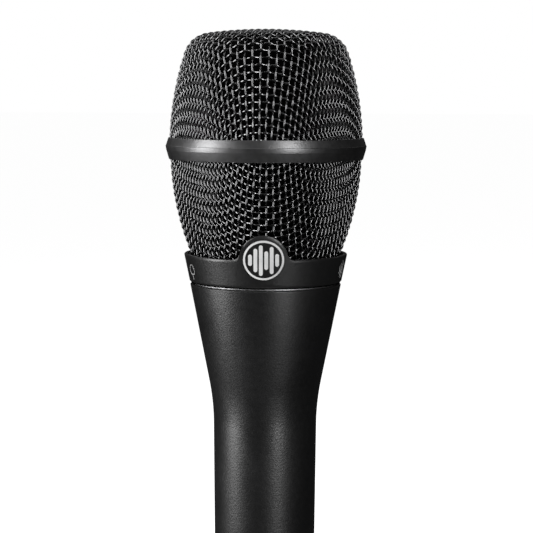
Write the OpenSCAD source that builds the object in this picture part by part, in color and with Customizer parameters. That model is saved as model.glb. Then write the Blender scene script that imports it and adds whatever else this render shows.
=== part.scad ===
// Hand-held moving-coil microphone: tapered handle with a three-pin socket, a collar with a badge,
// a sprung capsule and a screw-on grille of two wire baskets joined by a band.
// The origin is the centre of the connector rim. +Z runs up to the grille and the badge faces -Y.

/* [Handle] */
// Outer radius at the connector end
end_r = 12.1; // [11.9:0.05:12.2]
// Outer radius at the neck, where the grip ends and the flare begins
neck_r = 13; // [12.8:0.05:13.1]
// Height of the middle of the neck
neck_z = 94.7; // [92:0.1:97]
// Outer radius at the top of the flare
shoulder_r = 18.95; // [18.9:0.05:19.1]
// Height of the top of the handle
shoulder_z = 127.3; // [126.8:0.1:127.4]
// Wall of the grip
wall = 2; // [1.6:0.1:2.3]

/* [Collar] */
// Height of the collar ring without its arch
collar_h = 7.2; // [7:0.1:7.4]
// Growth of the collar's radius for each millimetre of height
flare = 0.208; // [0.2:0.002:0.216]
// Radius of the arch round the badge
arch_r = 5.9; // [5.6:0.1:6]
// Radius of the badge
badge_r = 5; // [4.7:0.05:5]

/* [Grille] */
// Height where the side of the dome turns in to the crown
side_top_z = 185.8; // [184:0.1:187]
// Outer radius of the wire baskets beside the band
belly_r = 23.8; // [23.6:0.05:23.85]
// Outer radius of the band
band_r = 25.05; // [24.8:0.05:25.3]
// Height of the middle of the band
band_z = 161; // [160.8:0.1:161.2]
// Height of the band
band_h = 5.3; // [5:0.1:5.4]
// Thickness of the woven wire
mesh_t = 0.95; // [0.8:0.05:1]

/* [Capsule] */
// Outer radius of the capsule
capsule_r = 14.5; // [14:0.1:14.6]
// Height of the capsule's front face
capsule_top = 175; // [174:0.1:176]
// Outer radius of the voice coil
coil_r = 8.85; // [8.8:0.05:8.9]

/* [Connector] */
// Inner radius of the socket
socket_r = 8.05; // [8:0.05:8.1]
// Radius of each contact
contact_r = 1.19; // [1.15:0.01:1.2]
// Radius of the circle that the contacts stand on
contact_circle = 4.4; // [4.3:0.05:4.45]

/* [Hidden] */
$fn = 96;
fit = 0.05;          // radial gap between pieces that slide together on a bench
far = 60;            // longer than any cut across has to be

// Handle
flare_slope = (shoulder_r - neck_r) / (shoulder_z - neck_z - 2.3);
grip_slope = (neck_r - end_r) / neck_z;
blend_h = 5.5;       // half the height of the curve between grip and flare
end_chamfer = 0.5;
shoulder_chamfer = 0.3;
socket_bore = 9.55;  // bore for the connector
socket_depth = 23.4;
head_bore = 16.4;    // bore for the head ring
head_bore_z = 119.5;
cavity_r = neck_r - 0.65 - wall; // bore behind the connector, in line with the thinnest wall

// Connector
shell_z = [0.6, 22.6];
face_z = 14;         // face of the insulator inside the socket
insulator_top = 21;
pin_tip_z = 2;
pin_cup_z = 26;
shank_r = 1.5;
pin_angles = [32, 148, 270];
screw_z = 17.5;
screw_r = 1.5;

// Collar and thread
collar_z = shoulder_z + 0.35;
collar_top = collar_z + collar_h;
lip_t = 1;
thread_r = 18.1;     // bore of the collar's thread, at its working radius
floor_z = 130.2;     // floor inside the collar, which the screws sit in
thread_top = 133.4;
seat_r = 17.98;
screw_foot = shoulder_z + 0.2; // the collar's screws end in the head ring's flange
badge_tilt = atan(flare);
recess_d = 0.3;
arch_fillet = 2.2;
arch_rise = 0.35;    // height of the arch's centre above the badge's
edge_drop = 0.3;     // fall of the collar's round top edge at the foot of the arch
back_slope = 0.265;  // slope of the arch's back, which follows the wire and stays clear of it

// Grille outline: each basket bulges on a curve of its own radius
dome_curve = 70;
dome_belly_z = 162;
skirt_curve = 63;
skirt_belly_z = 160;
crown_curve = 140;   // radius of the nearly flat top
corner_r = 5.6;      // radius between top and side
skirt_bottom = 133.7;
foam_gap = 0.95;
dome_foam_t = 3.2;
skirt_foam_t = 1.5;

// Capsule
neck_tube_r = 9.5;
cup_bottom = 146;
housing_wall = 1.2;
cradle_r = [12.4, 13.8];
cradle_z = [121, 144];
diaphragm_z = 167;

// Points of an arc in the plane, from one angle to another
function arc(c, r, a0, a1, n = 12, first = 0) =
    [for (i = [first:n]) let(a = a0 + (a1 - a0) * i / n) c + r * [cos(a), sin(a)]];

function collar_r(z) = shoulder_r + 0.02 + (z - collar_z) * flare;
function back_r(z) = collar_r(collar_top) - lip_t + 0.1 + (z - collar_top) * back_slope;
function skirt_r(z) = belly_r - pow(skirt_belly_z - z, 2) / (2 * skirt_curve);
function grip_r(z) = end_r + z * grip_slope;
function flare_r(z) = shoulder_r - (shoulder_z - z) * flare_slope;

// The height where grip and flare would meet with no blend
meet_z = (shoulder_z * flare_slope - shoulder_r + end_r) / (flare_slope - grip_slope);

// Outline of the handle from the end to the shoulder, with a parabola through the neck
function neck_curve(n = 10) = [for (i = [0:n])
    let(t = i / n, a = (1 - t) * (1 - t), b = 2 * t * (1 - t), c = t * t)
    a * [grip_r(meet_z - blend_h), meet_z - blend_h] + b * [grip_r(meet_z), meet_z]
    + c * [flare_r(meet_z + blend_h), meet_z + blend_h]];

// Turns a closed outline of [radius, height] points
module turned(points) { rotate_extrude() polygon(points); }

// A plain ring
module ring(r_in, r_out, z0, z1) { turned([[r_in, z0], [r_out, z0], [r_out, z1], [r_in, z1]]); }

// Puts its children along an axis from the middle of the badge, outwards and tilted with the collar
module at_badge() {
    translate([0, -collar_r(collar_top), collar_top]) rotate([90 + badge_tilt, 0, 0]) children();
}

module handle_tube() color("#26272a") difference() {
    turned(concat(
        [[socket_bore, 0], [end_r - end_chamfer, 0], [end_r, end_chamfer]],
        neck_curve(),
        [[flare_r(shoulder_z - shoulder_chamfer), shoulder_z - shoulder_chamfer]],
        [[shoulder_r - shoulder_chamfer, shoulder_z], [head_bore, shoulder_z]],
        [[head_bore, head_bore_z], [cavity_r + 2, 104], [cavity_r + 0.4, 94], [cavity_r, 30]],
        [[8.6, socket_depth + 3], [8.6, socket_depth], [socket_bore, socket_depth]]));
    translate([0, 0, screw_z]) rotate([-90, 0, 0]) cylinder(r = screw_r + 0.1, h = far);
}

// Nickel-plated sleeve of the socket, with the window that the plug's latch snaps into
module connector_shell() color("silver") difference() {
    turned([
        [socket_r, shell_z[0]], [socket_bore - fit, shell_z[0]], [socket_bore - fit, shell_z[1]],
        [7, shell_z[1]], [7, insulator_top], [socket_r, insulator_top]]);
    translate([-2.4, 0, 5]) cube([4.8, far, 3]);
    translate([0, 0, screw_z]) rotate([-90, 0, 0]) cylinder(r = screw_r + 0.02, h = far);
}

module connector_insulator() color("#1b1b1c") difference() {
    union() {
        cylinder_between(socket_r - fit, face_z, insulator_top);
        cylinder_between(6.6, insulator_top, shell_z[1]);
    }
    for (a = pin_angles) at_pin(a) cylinder_between(shank_r + 0.02, face_z - 1, pin_cup_z);
}

module cylinder_between(r, z0, z1) { translate([0, 0, z0]) cylinder(r = r, h = z1 - z0); }

module at_pin(angle) { translate(contact_circle * [cos(angle), sin(angle), 0]) children(); }

// A contact with a bullet tip, a free length, a shank in the insulator and a solder cup
module contact_pin(angle) color("gold") at_pin(angle) difference() {
    turned([
        [0, pin_tip_z], [0.5, pin_tip_z + 0.1], [contact_r, pin_tip_z + 1], [contact_r, face_z],
        [shank_r, face_z], [shank_r, shell_z[1] + 0.5], [1.1, shell_z[1] + 0.9],
        [1.1, pin_cup_z], [0, pin_cup_z]]);
    cylinder_between(0.7, pin_cup_z - 2, pin_cup_z + 1);
}

// Split spring washer that joins the first contact, the shell and the handle
module ground_washer() color("goldenrod") {
    z = [shell_z[1] + 0.05, shell_z[1] + 0.45];
    difference() {
        union() {
            ring(7, socket_bore - 0.1, z[0], z[1]);
            rotate(pin_angles[0]) translate([contact_circle, -1.5, z[0]]) cube([3, 3, z[1] - z[0]]);
            at_pin(pin_angles[0]) cylinder_between(2.2, z[0], z[1]);
        }
        translate([-1, -far, shell_z[1]]) cube([2, far, 1]);
        at_pin(pin_angles[0]) cylinder_between(shank_r + 0.02, shell_z[1], z[1] + 1);
    }
}

// Grub screw that locks the connector in the handle
module connector_screw() color("#3a3a3c") translate([0, 0, screw_z]) rotate([-90, 0, 0]) difference() {
    cylinder_between(screw_r, 8.3, 11.6);
    translate([-screw_r, -0.25, 10.9]) cube([2 * screw_r, 0.5, 2]);
}

// Round wire along points, as one closed solid
module wire(path, r, sides = 8) {
    n = len(path) - 1;
    function heading(i) = let(d = path[min(i + 1, n)] - path[max(i - 1, 0)]) d / norm(d);
    function side_of(i) = let(s = cross(heading(i), [0, 1, 0])) s / norm(s);
    points = [for (i = [0:n]) let(u = side_of(i), v = cross(heading(i), u))
        for (k = [0:sides - 1]) path[i] + r * (cos(360 * k / sides) * u + sin(360 * k / sides) * v)];
    walls = [for (i = [0:n - 1]) for (k = [0:sides - 1]) let(a = i * sides, b = (k + 1) % sides)
        each [[a + k, a + b, a + sides + k], [a + b, a + sides + b, a + sides + k]]];
    start_cap = [for (k = [1:sides - 2]) [0, k + 1, k]];
    end_cap = [for (k = [1:sides - 2]) let(e = n * sides) [e, e + k, e + k + 1]];
    polyhedron(points = points, faces = concat(walls, start_cap, end_cap));
}

lead_r = 0.6;
lead_steps = 26;
// A lead rises from a solder cup, bows out in the cavity and ends under the capsule's terminal board
function lead_path(from, to, bow) = [for (i = [0:lead_steps])
    let(t = i / lead_steps, s = t * t * (3 - 2 * t))
    [from[0] + (to[0] - from[0]) * s + bow[0] * sin(180 * t) * sin(180 * t),
     from[1] + (to[1] - from[1]) * s + bow[1] * sin(180 * t) * sin(180 * t),
     from[2] + (to[2] - from[2]) * t]];

terminal_x = 3.2;
terminal_z = 125.4;

module signal_lead(pin, side, bow) {
    start = [each contact_circle * [cos(pin_angles[pin]), sin(pin_angles[pin])], pin_cup_z + 0.05];
    wire(lead_path(start, [side * terminal_x, 0, terminal_z - 0.05], bow), lead_r);
}

module signal_lead_hot() color("firebrick") signal_lead(1, -1, [-2.4, 1.8]);

module signal_lead_cold() color("#d8c27a") signal_lead(2, 1, [2.6, -1.4]);

// Die-cast ring that joins the handle, the collar and the cradle
module head_ring() color("#8d8f93") difference() {
    turned([
        [14.4, 119.7], [head_bore - fit, 119.7], [head_bore - fit, shoulder_z + 0.02],
        [seat_r - 0.05, shoulder_z + 0.02], [seat_r - 0.05, 128.7], [14.4, 128.7]]);
    at_collar_screws() cylinder_between(0.82, screw_foot - 0.05, 130);
}

module at_collar_screws() { for (a = [30, 150, 270]) rotate(a) translate([16.6, 0, 0]) children(); }

module collar_screws() color("#55565a") at_collar_screws() difference() {
    union() {
        cylinder_between(0.8, screw_foot, floor_z - 0.5);
        cylinder_between(1.3, floor_z - 0.75, floor_z - 0.1);
    }
    translate([-0.2, -2, floor_z - 0.4]) cube([0.4, 4, 1]);
}

// Outline of the arch in the badge's own plane: a round head with a fillet on each side,
// which runs down to the collar's top edge
module arch_outline() {
    lift = arch_fillet - edge_drop;
    rise = lift - arch_rise;
    foot = sqrt(pow(arch_r + arch_fillet, 2) - pow(rise, 2));
    lean = asin(rise / (arch_r + arch_fillet));
    polygon(concat(
        [[-foot, -0.8], [foot, -0.8]],
        arc([foot, lift], arch_fillet, 270, 180 + lean, 7),
        arc([0, arch_rise], arch_r, lean, 180 - lean, 30, 1),
        arc([-foot, lift], arch_fillet, 360 - lean, 270, 7, 1)));
}

// Everything of the collar's cone that is less than a depth below its surface, up to a height above it
module cone_skin(depth, above) {
    z0 = collar_z + 1;
    z1 = collar_top + 8;
    turned([
        [collar_r(z0) - depth, z0], [collar_r(z0) + above, z0],
        [collar_r(z1) + above, z1], [collar_r(z1) - depth, z1]]);
}

// A flat outline carried along the badge's axis through the front of the collar
module on_badge() { at_badge() translate([0, 0, -3]) linear_extrude(6) children(); }

module collar() color("#2a2b2e") difference() {
    union() {
        turned([
            [collar_r(collar_z) - 0.12, collar_z], [collar_r(collar_z + 0.15), collar_z + 0.15],
            [collar_r(collar_top - 0.15), collar_top - 0.15], [collar_r(collar_top) - 0.2, collar_top],
            [collar_r(collar_top) - lip_t, collar_top], [thread_r + 0.9, thread_top + 0.3],
            [thread_r, thread_top], [thread_r, floor_z], [15.4, floor_z], [15.4, 128.72],
            [seat_r, 128.72], [seat_r, collar_z]]);
        intersection() {
            turned([
                [back_r(collar_top - 1), collar_top - 1], [collar_r(collar_top - 1), collar_top - 1],
                [collar_r(collar_top + 8), collar_top + 8], [back_r(collar_top + 8), collar_top + 8]]);
            on_badge() arch_outline();
        }
    }
    intersection() {
        cone_skin(recess_d, 2);
        on_badge() circle(r = badge_r + 0.15);
    }
    at_collar_screws() cylinder_between(0.85, 128, floor_z);
    at_collar_screws() cylinder_between(1.4, floor_z - 0.8, floor_z + 1);
}

module badge_medallion() color("gainsboro") intersection() {
    cone_skin(recess_d - 0.02, -0.02);
    on_badge() circle(r = badge_r);
}

// Plastic cradle round the capsule's neck, with air slots
module capsule_cradle() color("#1e1f22") difference() {
    turned([
        [cradle_r[0], cradle_z[0]], [14.3, cradle_z[0]], [14.3, 128.4], [cradle_r[1], 128.8],
        [cradle_r[1], cradle_z[1]], [cradle_r[0] - 1.2, cradle_z[1]], [cradle_r[0] - 1.2, cradle_z[1] - 0.8],
        [cradle_r[0], cradle_z[1] - 0.8], [cradle_r[0], 140],
        [cradle_r[0] - 1, 139.8], [cradle_r[0] - 1, 139],
        [cradle_r[0], 138.8]]);
    for (a = [0:60:300]) rotate(a) translate([0, -1.5, 131]) cube([far, 3, 6]);
}

// A rubber ring between the capsule's neck and the cradle, waisted so that it can shear
module shock_ring(z0) color("#38383a") turned([
    [neck_tube_r + 0.02, z0], [cradle_r[0] - 0.02, z0], [cradle_r[0] - 0.02, z0 + 3.1],
    [11, z0 + 2.5], [10.8, z0 + 2.5], [neck_tube_r + 0.02, z0 + 3.1]]);

// Shell of the capsule: a cup for the motor, and a neck that encloses air behind it
module capsule_housing() color("#2e2f33") difference() {
    turned([
        [neck_tube_r - housing_wall, 127.2], [neck_tube_r, 127.2], [neck_tube_r, cup_bottom],
        [capsule_r - 1, cup_bottom], [capsule_r, cup_bottom + 1], [capsule_r, capsule_top - 3],
        [capsule_r - housing_wall, capsule_top - 3], [capsule_r - housing_wall, cup_bottom + 1.5],
        [neck_tube_r - housing_wall, cup_bottom + 1.5]]);
    for (a = [0:45:315]) rotate(a + 22.5) translate([capsule_r - 3, -2.2, 149.5]) cube([6, 4.4, 3.2]);
}

// Cap in front of the diaphragm, drilled in two circles round a centre hole
module capsule_front_cap() color("#303135") difference() {
    turned([
        [0, capsule_top - 1.4], [capsule_r - 2.2, capsule_top - 1.4], [capsule_r - 2.2, capsule_top - 2.98],
        [capsule_r, capsule_top - 2.98], [capsule_r, capsule_top - 0.8],
        [capsule_r - 0.8, capsule_top], [0, capsule_top]]);
    cylinder_between(1.1, capsule_top - 2, capsule_top + 1);
    for (row = [[6, 4.2], [12, 8.4]], k = [1:row[0]])
        rotate(360 * k / row[0]) translate([row[1], 0, 0])
            cylinder_between(1.1, capsule_top - 2, capsule_top + 1);
}

module front_screen() color("#56585c")
    cylinder_between(capsule_r - 2.3, capsule_top - 1.85, capsule_top - 1.45);

module clamp_ring() color("#6d5f3a")
    ring(12.45, capsule_r - housing_wall - fit, diaphragm_z - 0.75, diaphragm_z + 1.2);

// Thin roll between the diaphragm's dome and its clamp
module diaphragm_surround() color("#c9b98f") turned(concat(
    arc([10.6, diaphragm_z - 0.35], 1.88, 165, 15),
    arc([10.6, diaphragm_z - 0.35], 1.7, 15, 165)));

module magnet_carrier() color("#3c4450") difference() {
    ring(11.05, capsule_r - housing_wall - fit, 156, diaphragm_z - 0.8);
    for (a = [0:60:300]) rotate(a) translate([12.15, 0, 0]) cylinder_between(0.7, 155, diaphragm_z);
}

module yoke_cup() color("#9aa0a6") difference() {
    cylinder_between(11, 153.5, 164.5);
    cylinder_between(coil_r + 0.45, 155.5, 166);
}

module magnet() color("#b9bdc2") cylinder_between(7.5, 155.52, 162);

module pole_piece() color("#a4a8ac") cylinder_between(coil_r - 0.95, 162.02, 164.5);

// Felt behind the air slots of the housing
module port_felt() color("#7a7d80") ring(12.3, capsule_r - housing_wall - fit, 148, 154);

module terminal_board() color("#2f6b3c") difference() {
    cylinder_between(neck_tube_r - 0.1, 125.9, 127.18);
    cylinder_between(1, 125, 128);
}

module solder_terminals() color("#d9b44a")
    for (x = [-terminal_x, terminal_x]) translate([x, 0, 0]) cylinder_between(1.2, terminal_z, 125.88);

module diaphragm_dome() color("#d8cba6") turned(concat(
    arc([0, diaphragm_z - 17.2], 19.2, 90, 62.9, 14),
    arc([0, diaphragm_z - 17.2], 19.05, 62.9, 90, 14)));

module voice_coil() color("#b0682f") ring(coil_r - 0.5, coil_r - 0.1, 161.5, diaphragm_z - 0.35);

// Angle of the dome's outward normal on its side, and a point of the side at a depth below the wire
function side_angle(z) = atan((z - dome_belly_z) / dome_curve);
function side_point(z, depth) = [belly_r - pow(z - dome_belly_z, 2) / (2 * dome_curve), z]
    - depth * [cos(side_angle(z)), sin(side_angle(z))];

// Centre of the round corner, and the angle where it runs into the crown
corner_c = side_point(side_top_z, corner_r);
crown_angle = acos(corner_c[0] / (crown_curve - corner_r));
crown_c = [0, corner_c[1] - (crown_curve - corner_r) * sin(crown_angle)];

// Outline of the dome at a depth below its wire, from a height on its side to the middle of the crown
function dome_line(depth, z0, n = 14) = concat(
    [for (i = [0:n]) side_point(z0 + (side_top_z - z0) * i / n, depth)],
    arc(corner_c, corner_r - depth, side_angle(side_top_z), crown_angle, 8, 1),
    arc(crown_c, crown_curve - depth, crown_angle, 90, 4, 1));
function reversed(list) = [for (i = [len(list) - 1:-1:0]) list[i]];

module dome_shell(depth, t, z0) { turned(concat(dome_line(depth, z0), reversed(dome_line(depth + t, z0)))); }

// Wire baskets, as closed shells of the weave's true thickness
module grille_dome() color("#1c1c1e") dome_shell(0, mesh_t, band_z + 0.15);

module grille_skirt() color("#1c1c1e") skirt_shell(0, mesh_t, skirt_bottom, band_z - 0.15);

module skirt_shell(depth, t, z0, z1) {
    n = 16;
    line = [for (i = [0:n]) let(z = z0 + (z1 - z0) * i / n) [skirt_r(z) - depth, z]];
    turned(concat(line, reversed([for (p = line) p - [t, 0]])));
}

module grille_band() color("#46474b") turned([
    [belly_r + 0.05, band_z - band_h / 2], [band_r - 0.85, band_z - band_h / 2],
    [band_r - 0.1, band_z - 0.65],
    [band_r, band_z - 0.4], [band_r, band_z + 0.7], [band_r - 0.1, band_z + 0.8],
    [band_r - 0.7, band_z + band_h / 2], [belly_r + 0.05, band_z + band_h / 2]]);

// Ring that the edges of both baskets are crimped against
module band_inner_ring() color("#5a5c60") ring(22, belly_r - mesh_t - 0.25, band_z - 2.3, band_z + 2.3);

// Threaded foot of the grille. The skirt's lower edge is bonded on its shoulder
module grille_base_ring() color("#3b3c40") turned([
    [16.3, floor_z + 0.15], [thread_r - 0.4, floor_z + 0.15], [thread_r - 0.08, floor_z + 0.5],
    [thread_r - 0.08, thread_top - 0.05], [18.25, skirt_bottom - 0.02], [16.3, skirt_bottom - 0.02]]);

// Foam behind the wire, which stops breath and spit
module dome_foam() color("#141415") dome_shell(mesh_t + foam_gap, dome_foam_t, band_z + 2.6);

module skirt_foam() color("#141415")
    skirt_shell(mesh_t + foam_gap, skirt_foam_t, skirt_bottom + 0.6, band_z - 2.4);

handle_tube();
connector_shell();
connector_insulator();
contact_pin(pin_angles[0]);  // contact_pin_1
contact_pin(pin_angles[1]);  // contact_pin_2
contact_pin(pin_angles[2]);  // contact_pin_3
ground_washer();
connector_screw();
signal_lead_hot();
signal_lead_cold();
head_ring();
collar();
collar_screws();
badge_medallion();
capsule_cradle();
shock_ring(128.9);  // shock_ring_lower
shock_ring(140.05);  // shock_ring_upper
capsule_housing();
capsule_front_cap();
front_screen();
clamp_ring();
diaphragm_surround();
magnet_carrier();
yoke_cup();
magnet();
pole_piece();
port_felt();
terminal_board();
solder_terminals();
diaphragm_dome();
voice_coil();
dome_foam();
skirt_foam();
grille_dome();
grille_band();
band_inner_ring();
grille_skirt();
grille_base_ring();
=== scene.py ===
"""Looks of a hand-held moving-coil microphone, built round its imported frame.

The frame gives the pieces their places. Turned pieces are made from their outlines, the grille is woven
from wire cloth that is formed over its two baskets, and every finish is a procedural material.
Lengths are in metres; a size that ends in MM was written in millimetres.
"""

import logging
import math
from collections.abc import Callable, Iterable, Sequence
from dataclasses import dataclass, field
from enum import Enum

import bmesh
import bpy
import numpy as np
from mathutils import Euler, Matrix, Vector


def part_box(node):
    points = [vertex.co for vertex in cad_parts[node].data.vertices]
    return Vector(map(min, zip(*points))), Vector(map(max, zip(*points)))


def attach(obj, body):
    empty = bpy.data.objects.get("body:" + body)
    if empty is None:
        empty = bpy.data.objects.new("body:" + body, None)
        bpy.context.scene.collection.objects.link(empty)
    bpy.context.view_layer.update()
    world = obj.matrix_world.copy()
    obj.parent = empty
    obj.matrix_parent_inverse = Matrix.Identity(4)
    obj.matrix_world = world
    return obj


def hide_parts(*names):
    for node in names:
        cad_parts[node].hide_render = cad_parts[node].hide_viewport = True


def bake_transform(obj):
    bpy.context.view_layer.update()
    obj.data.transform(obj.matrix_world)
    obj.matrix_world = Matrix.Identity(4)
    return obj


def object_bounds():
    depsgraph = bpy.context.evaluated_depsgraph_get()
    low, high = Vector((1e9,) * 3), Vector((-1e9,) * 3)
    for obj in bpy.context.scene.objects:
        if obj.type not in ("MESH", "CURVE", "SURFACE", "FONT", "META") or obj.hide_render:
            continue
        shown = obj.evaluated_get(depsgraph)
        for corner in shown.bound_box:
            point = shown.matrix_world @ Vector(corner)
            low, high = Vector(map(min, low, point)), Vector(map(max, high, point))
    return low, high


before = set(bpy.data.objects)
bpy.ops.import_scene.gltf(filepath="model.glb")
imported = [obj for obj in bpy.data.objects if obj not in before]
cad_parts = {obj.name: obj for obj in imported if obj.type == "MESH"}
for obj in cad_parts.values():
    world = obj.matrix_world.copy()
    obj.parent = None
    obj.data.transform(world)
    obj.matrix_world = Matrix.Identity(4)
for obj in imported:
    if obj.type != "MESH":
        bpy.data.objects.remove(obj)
CAD_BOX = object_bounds()
LOG = logging.getLogger("microphone")
MM = 0.001
THREAD_RISE = 1.0 * MM  # of the thread between grille and collar, in one turn

Point = tuple[float, float]
Color = tuple[float, float, float]


# ---------------------------------------------------------------- node trees


class Graph:
    """Adds nodes to a tree and joins their sockets."""

    def __init__(self, tree: bpy.types.NodeTree) -> None:
        """Keeps the tree that the nodes go into."""
        self.tree = tree

    def add(self, kind: str, inputs: dict | None = None, **settings: object) -> bpy.types.Node:
        """Adds a node.

        Args:
            kind: The node's type.
            inputs: Socket name or number to a value, or to the output socket that feeds it.
            settings: Attributes of the node, set before its sockets are.

        Returns:
            The new node.
        """
        node = self.tree.nodes.new(kind)
        for key, value in settings.items():
            setattr(node, key, value)
        for key, value in (inputs or {}).items():
            self.feed(node.inputs[key], value)
        return node

    def feed(self, socket: bpy.types.NodeSocket, value: object) -> None:
        """Links an output to a socket, or sets the socket's own value."""
        if isinstance(value, bpy.types.NodeSocket):
            self.tree.links.new(value, socket)
        else:
            socket.default_value = value

    def math(self, operation: str, a: object, b: object = 0.0, c: object = 0.0) -> bpy.types.NodeSocket:
        """One step of arithmetic on values.

        Args:
            operation: Name of the Math node's operation.
            a: First value or socket.
            b: Second value or socket.
            c: Third value or socket, for the operations that have one.

        Returns:
            The result's socket.
        """
        return self.add("ShaderNodeMath", {0: a, 1: b, 2: c}, operation=operation).outputs[0]

    def mix(self, factor: object, a: object, b: object) -> bpy.types.NodeSocket:
        """Mixes two colours.

        Args:
            factor: 0 for the first colour, 1 for the second.
            a: First colour.
            b: Second colour.

        Returns:
            The mixed colour's socket.
        """
        node = self.add("ShaderNodeMix", data_type="RGBA")
        for number, value in ((0, factor), (6, a), (7, b)):
            self.feed(node.inputs[number], value)
        return node.outputs[2]

    def ranged(self, value: object, low: float, high: float) -> bpy.types.NodeSocket:
        """Stretches a value of 0 to 1 to a range.

        Args:
            value: The socket to stretch.
            low: Result at 0.
            high: Result at 1.

        Returns:
            The result's socket.
        """
        return self.add("ShaderNodeMapRange", {"Value": value, "To Min": low, "To Max": high}).outputs[0]


def new_group(name: str, ins: dict[str, object], outs: Sequence[str]) -> tuple[bpy.types.NodeTree, Graph]:
    """Starts a shader node group that gives only values.

    Args:
        name: The group's name.
        ins: Input name to its default, a number or a vector.
        outs: Names of the outputs.

    Returns:
        The group, and a graph with its Group Input and Group Output as the first two nodes.
    """
    tree = bpy.data.node_groups.new(name, "ShaderNodeTree")
    for key, value in ins.items():
        kind = "NodeSocketVector" if isinstance(value, tuple) else "NodeSocketFloat"
        socket = tree.interface.new_socket(key, in_out="INPUT", socket_type=kind)
        socket.default_value = value
    for key in outs:
        tree.interface.new_socket(key, in_out="OUTPUT", socket_type="NodeSocketFloat")
    graph = Graph(tree)
    graph.add("NodeGroupInput")
    graph.add("NodeGroupOutput")
    return tree, graph


class Effect(Enum):
    """Surface effects that more than one finish uses, each built once as a node group."""

    GRAIN = "fine grain"
    HANDLING = "handling marks"
    TURNING = "turning lines"
    CLOTH = "plain weave"

    def tree(self) -> bpy.types.NodeTree:
        """Gives this effect's node group, and builds it the first time."""
        found = bpy.data.node_groups.get(self.value)
        return found or {
            Effect.GRAIN: build_grain,
            Effect.HANDLING: build_handling,
            Effect.TURNING: build_turning,
            Effect.CLOTH: build_cloth,
        }[self](self.value)


def build_grain(name: str) -> bpy.types.NodeTree:
    """Small round grains of a sprayed or moulded skin.

    Args:
        name: Name of the group.

    Returns:
        A group with Height and Mask.
    """
    ins = {"Vector": (0.0, 0.0, 0.0), "Grain size": 0.0002, "Unevenness": 0.5}
    tree, g = new_group(name, ins, ["Height", "Mask"])
    source, sink = tree.nodes[0], tree.nodes[1]
    scale = g.math("DIVIDE", 1.0, source.outputs["Grain size"])
    place = source.outputs["Vector"]
    cells = g.add("ShaderNodeTexVoronoi", {"Vector": place, "Scale": scale}, feature="SMOOTH_F1")
    cloud_scale = g.math("MULTIPLY", scale, 0.35)
    cloud = g.add("ShaderNodeTexNoise", {"Vector": place, "Scale": cloud_scale, "Detail": 3.0})
    uneven = g.math("MULTIPLY", cloud.outputs["Fac"], source.outputs["Unevenness"])
    bumps = g.math("SUBTRACT", 1.0, cells.outputs["Distance"])
    g.feed(sink.inputs["Height"], g.math("ADD", bumps, uneven))
    g.feed(sink.inputs["Mask"], cloud.outputs["Fac"])
    return tree


def build_handling(name: str) -> bpy.types.NodeTree:
    """Broad soft patches where hands have rubbed, and a few fine streaks.

    Args:
        name: Name of the group.

    Returns:
        A group with Mask.
    """
    tree, g = new_group(name, {"Vector": (0.0, 0.0, 0.0), "Patch size": 0.02}, ["Mask"])
    source, sink = tree.nodes[0], tree.nodes[1]
    scale = g.math("DIVIDE", 1.0, source.outputs["Patch size"])
    patches = g.add(
        "ShaderNodeTexNoise",
        {"Vector": source.outputs["Vector"], "Scale": scale, "Detail": 4.0, "Distortion": 0.6},
    )
    stretched = g.add("ShaderNodeMapping", {"Vector": source.outputs["Vector"], "Scale": (9.0, 9.0, 1.0)})
    streaks = g.add("ShaderNodeTexNoise", {"Vector": stretched.outputs[0], "Scale": scale, "Detail": 5.0})
    soft = g.add("ShaderNodeMapRange", {"Value": patches.outputs["Fac"], "From Min": 0.42, "From Max": 0.7})
    thin = g.add("ShaderNodeMapRange", {"Value": streaks.outputs["Fac"], "From Min": 0.6, "From Max": 0.75})
    faint = g.math("MULTIPLY", thin.outputs[0], 0.35)
    g.feed(sink.inputs["Mask"], g.math("MAXIMUM", soft.outputs[0], faint))
    return tree


def build_turning(name: str) -> bpy.types.NodeTree:
    """Fine lines round the Z axis, as a lathe tool or a polishing belt leaves.

    Args:
        name: Name of the group.

    Returns:
        A group with Height.
    """
    tree, g = new_group(name, {"Vector": (0.0, 0.0, 0.0), "Line pitch": 0.00012}, ["Height"])
    source, sink = tree.nodes[0], tree.nodes[1]
    parts = g.add("ShaderNodeSeparateXYZ", {0: source.outputs["Vector"]})
    x, y, z = parts.outputs
    radius = g.math("SQRT", g.math("ADD", g.math("MULTIPLY", x, x), g.math("MULTIPLY", y, y)))
    angle = g.math("MULTIPLY", g.math("ARCTAN2", y, x), 0.0004)
    lines = g.add("ShaderNodeCombineXYZ", {0: radius, 1: z, 2: angle})
    scale = g.math("DIVIDE", 1.0, source.outputs["Line pitch"])
    noise = g.add("ShaderNodeTexNoise", {"Vector": lines.outputs[0], "Scale": scale, "Detail": 2.0})
    g.feed(sink.inputs["Height"], noise.outputs["Fac"])
    return tree


def build_cloth(name: str) -> bpy.types.NodeTree:
    """Over-and-under threads of a plain cloth in the XY plane.

    Args:
        name: Name of the group.

    Returns:
        A group with Height and Mask, where Mask is 1 on a thread.
    """
    tree, g = new_group(name, {"Vector": (0.0, 0.0, 0.0), "Thread pitch": 0.0004}, ["Height", "Mask"])
    source, sink = tree.nodes[0], tree.nodes[1]
    parts = g.add("ShaderNodeSeparateXYZ", {0: source.outputs["Vector"]})
    turns = [g.math("DIVIDE", axis, source.outputs["Thread pitch"]) for axis in parts.outputs[:2]]
    waves = [g.math("SINE", g.math("MULTIPLY", turn, math.pi)) for turn in turns]
    ridges = [g.math("ABSOLUTE", wave) for wave in waves]
    over = g.math("GREATER_THAN", g.math("MULTIPLY", waves[0], waves[1]), 0.0)
    under = g.math("SUBTRACT", 1.0, over)
    height = g.math("ADD", g.math("MULTIPLY", ridges[0], over), g.math("MULTIPLY", ridges[1], under))
    g.feed(sink.inputs["Height"], height)
    g.feed(sink.inputs["Mask"], g.math("GREATER_THAN", height, 0.35))
    return tree


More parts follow.
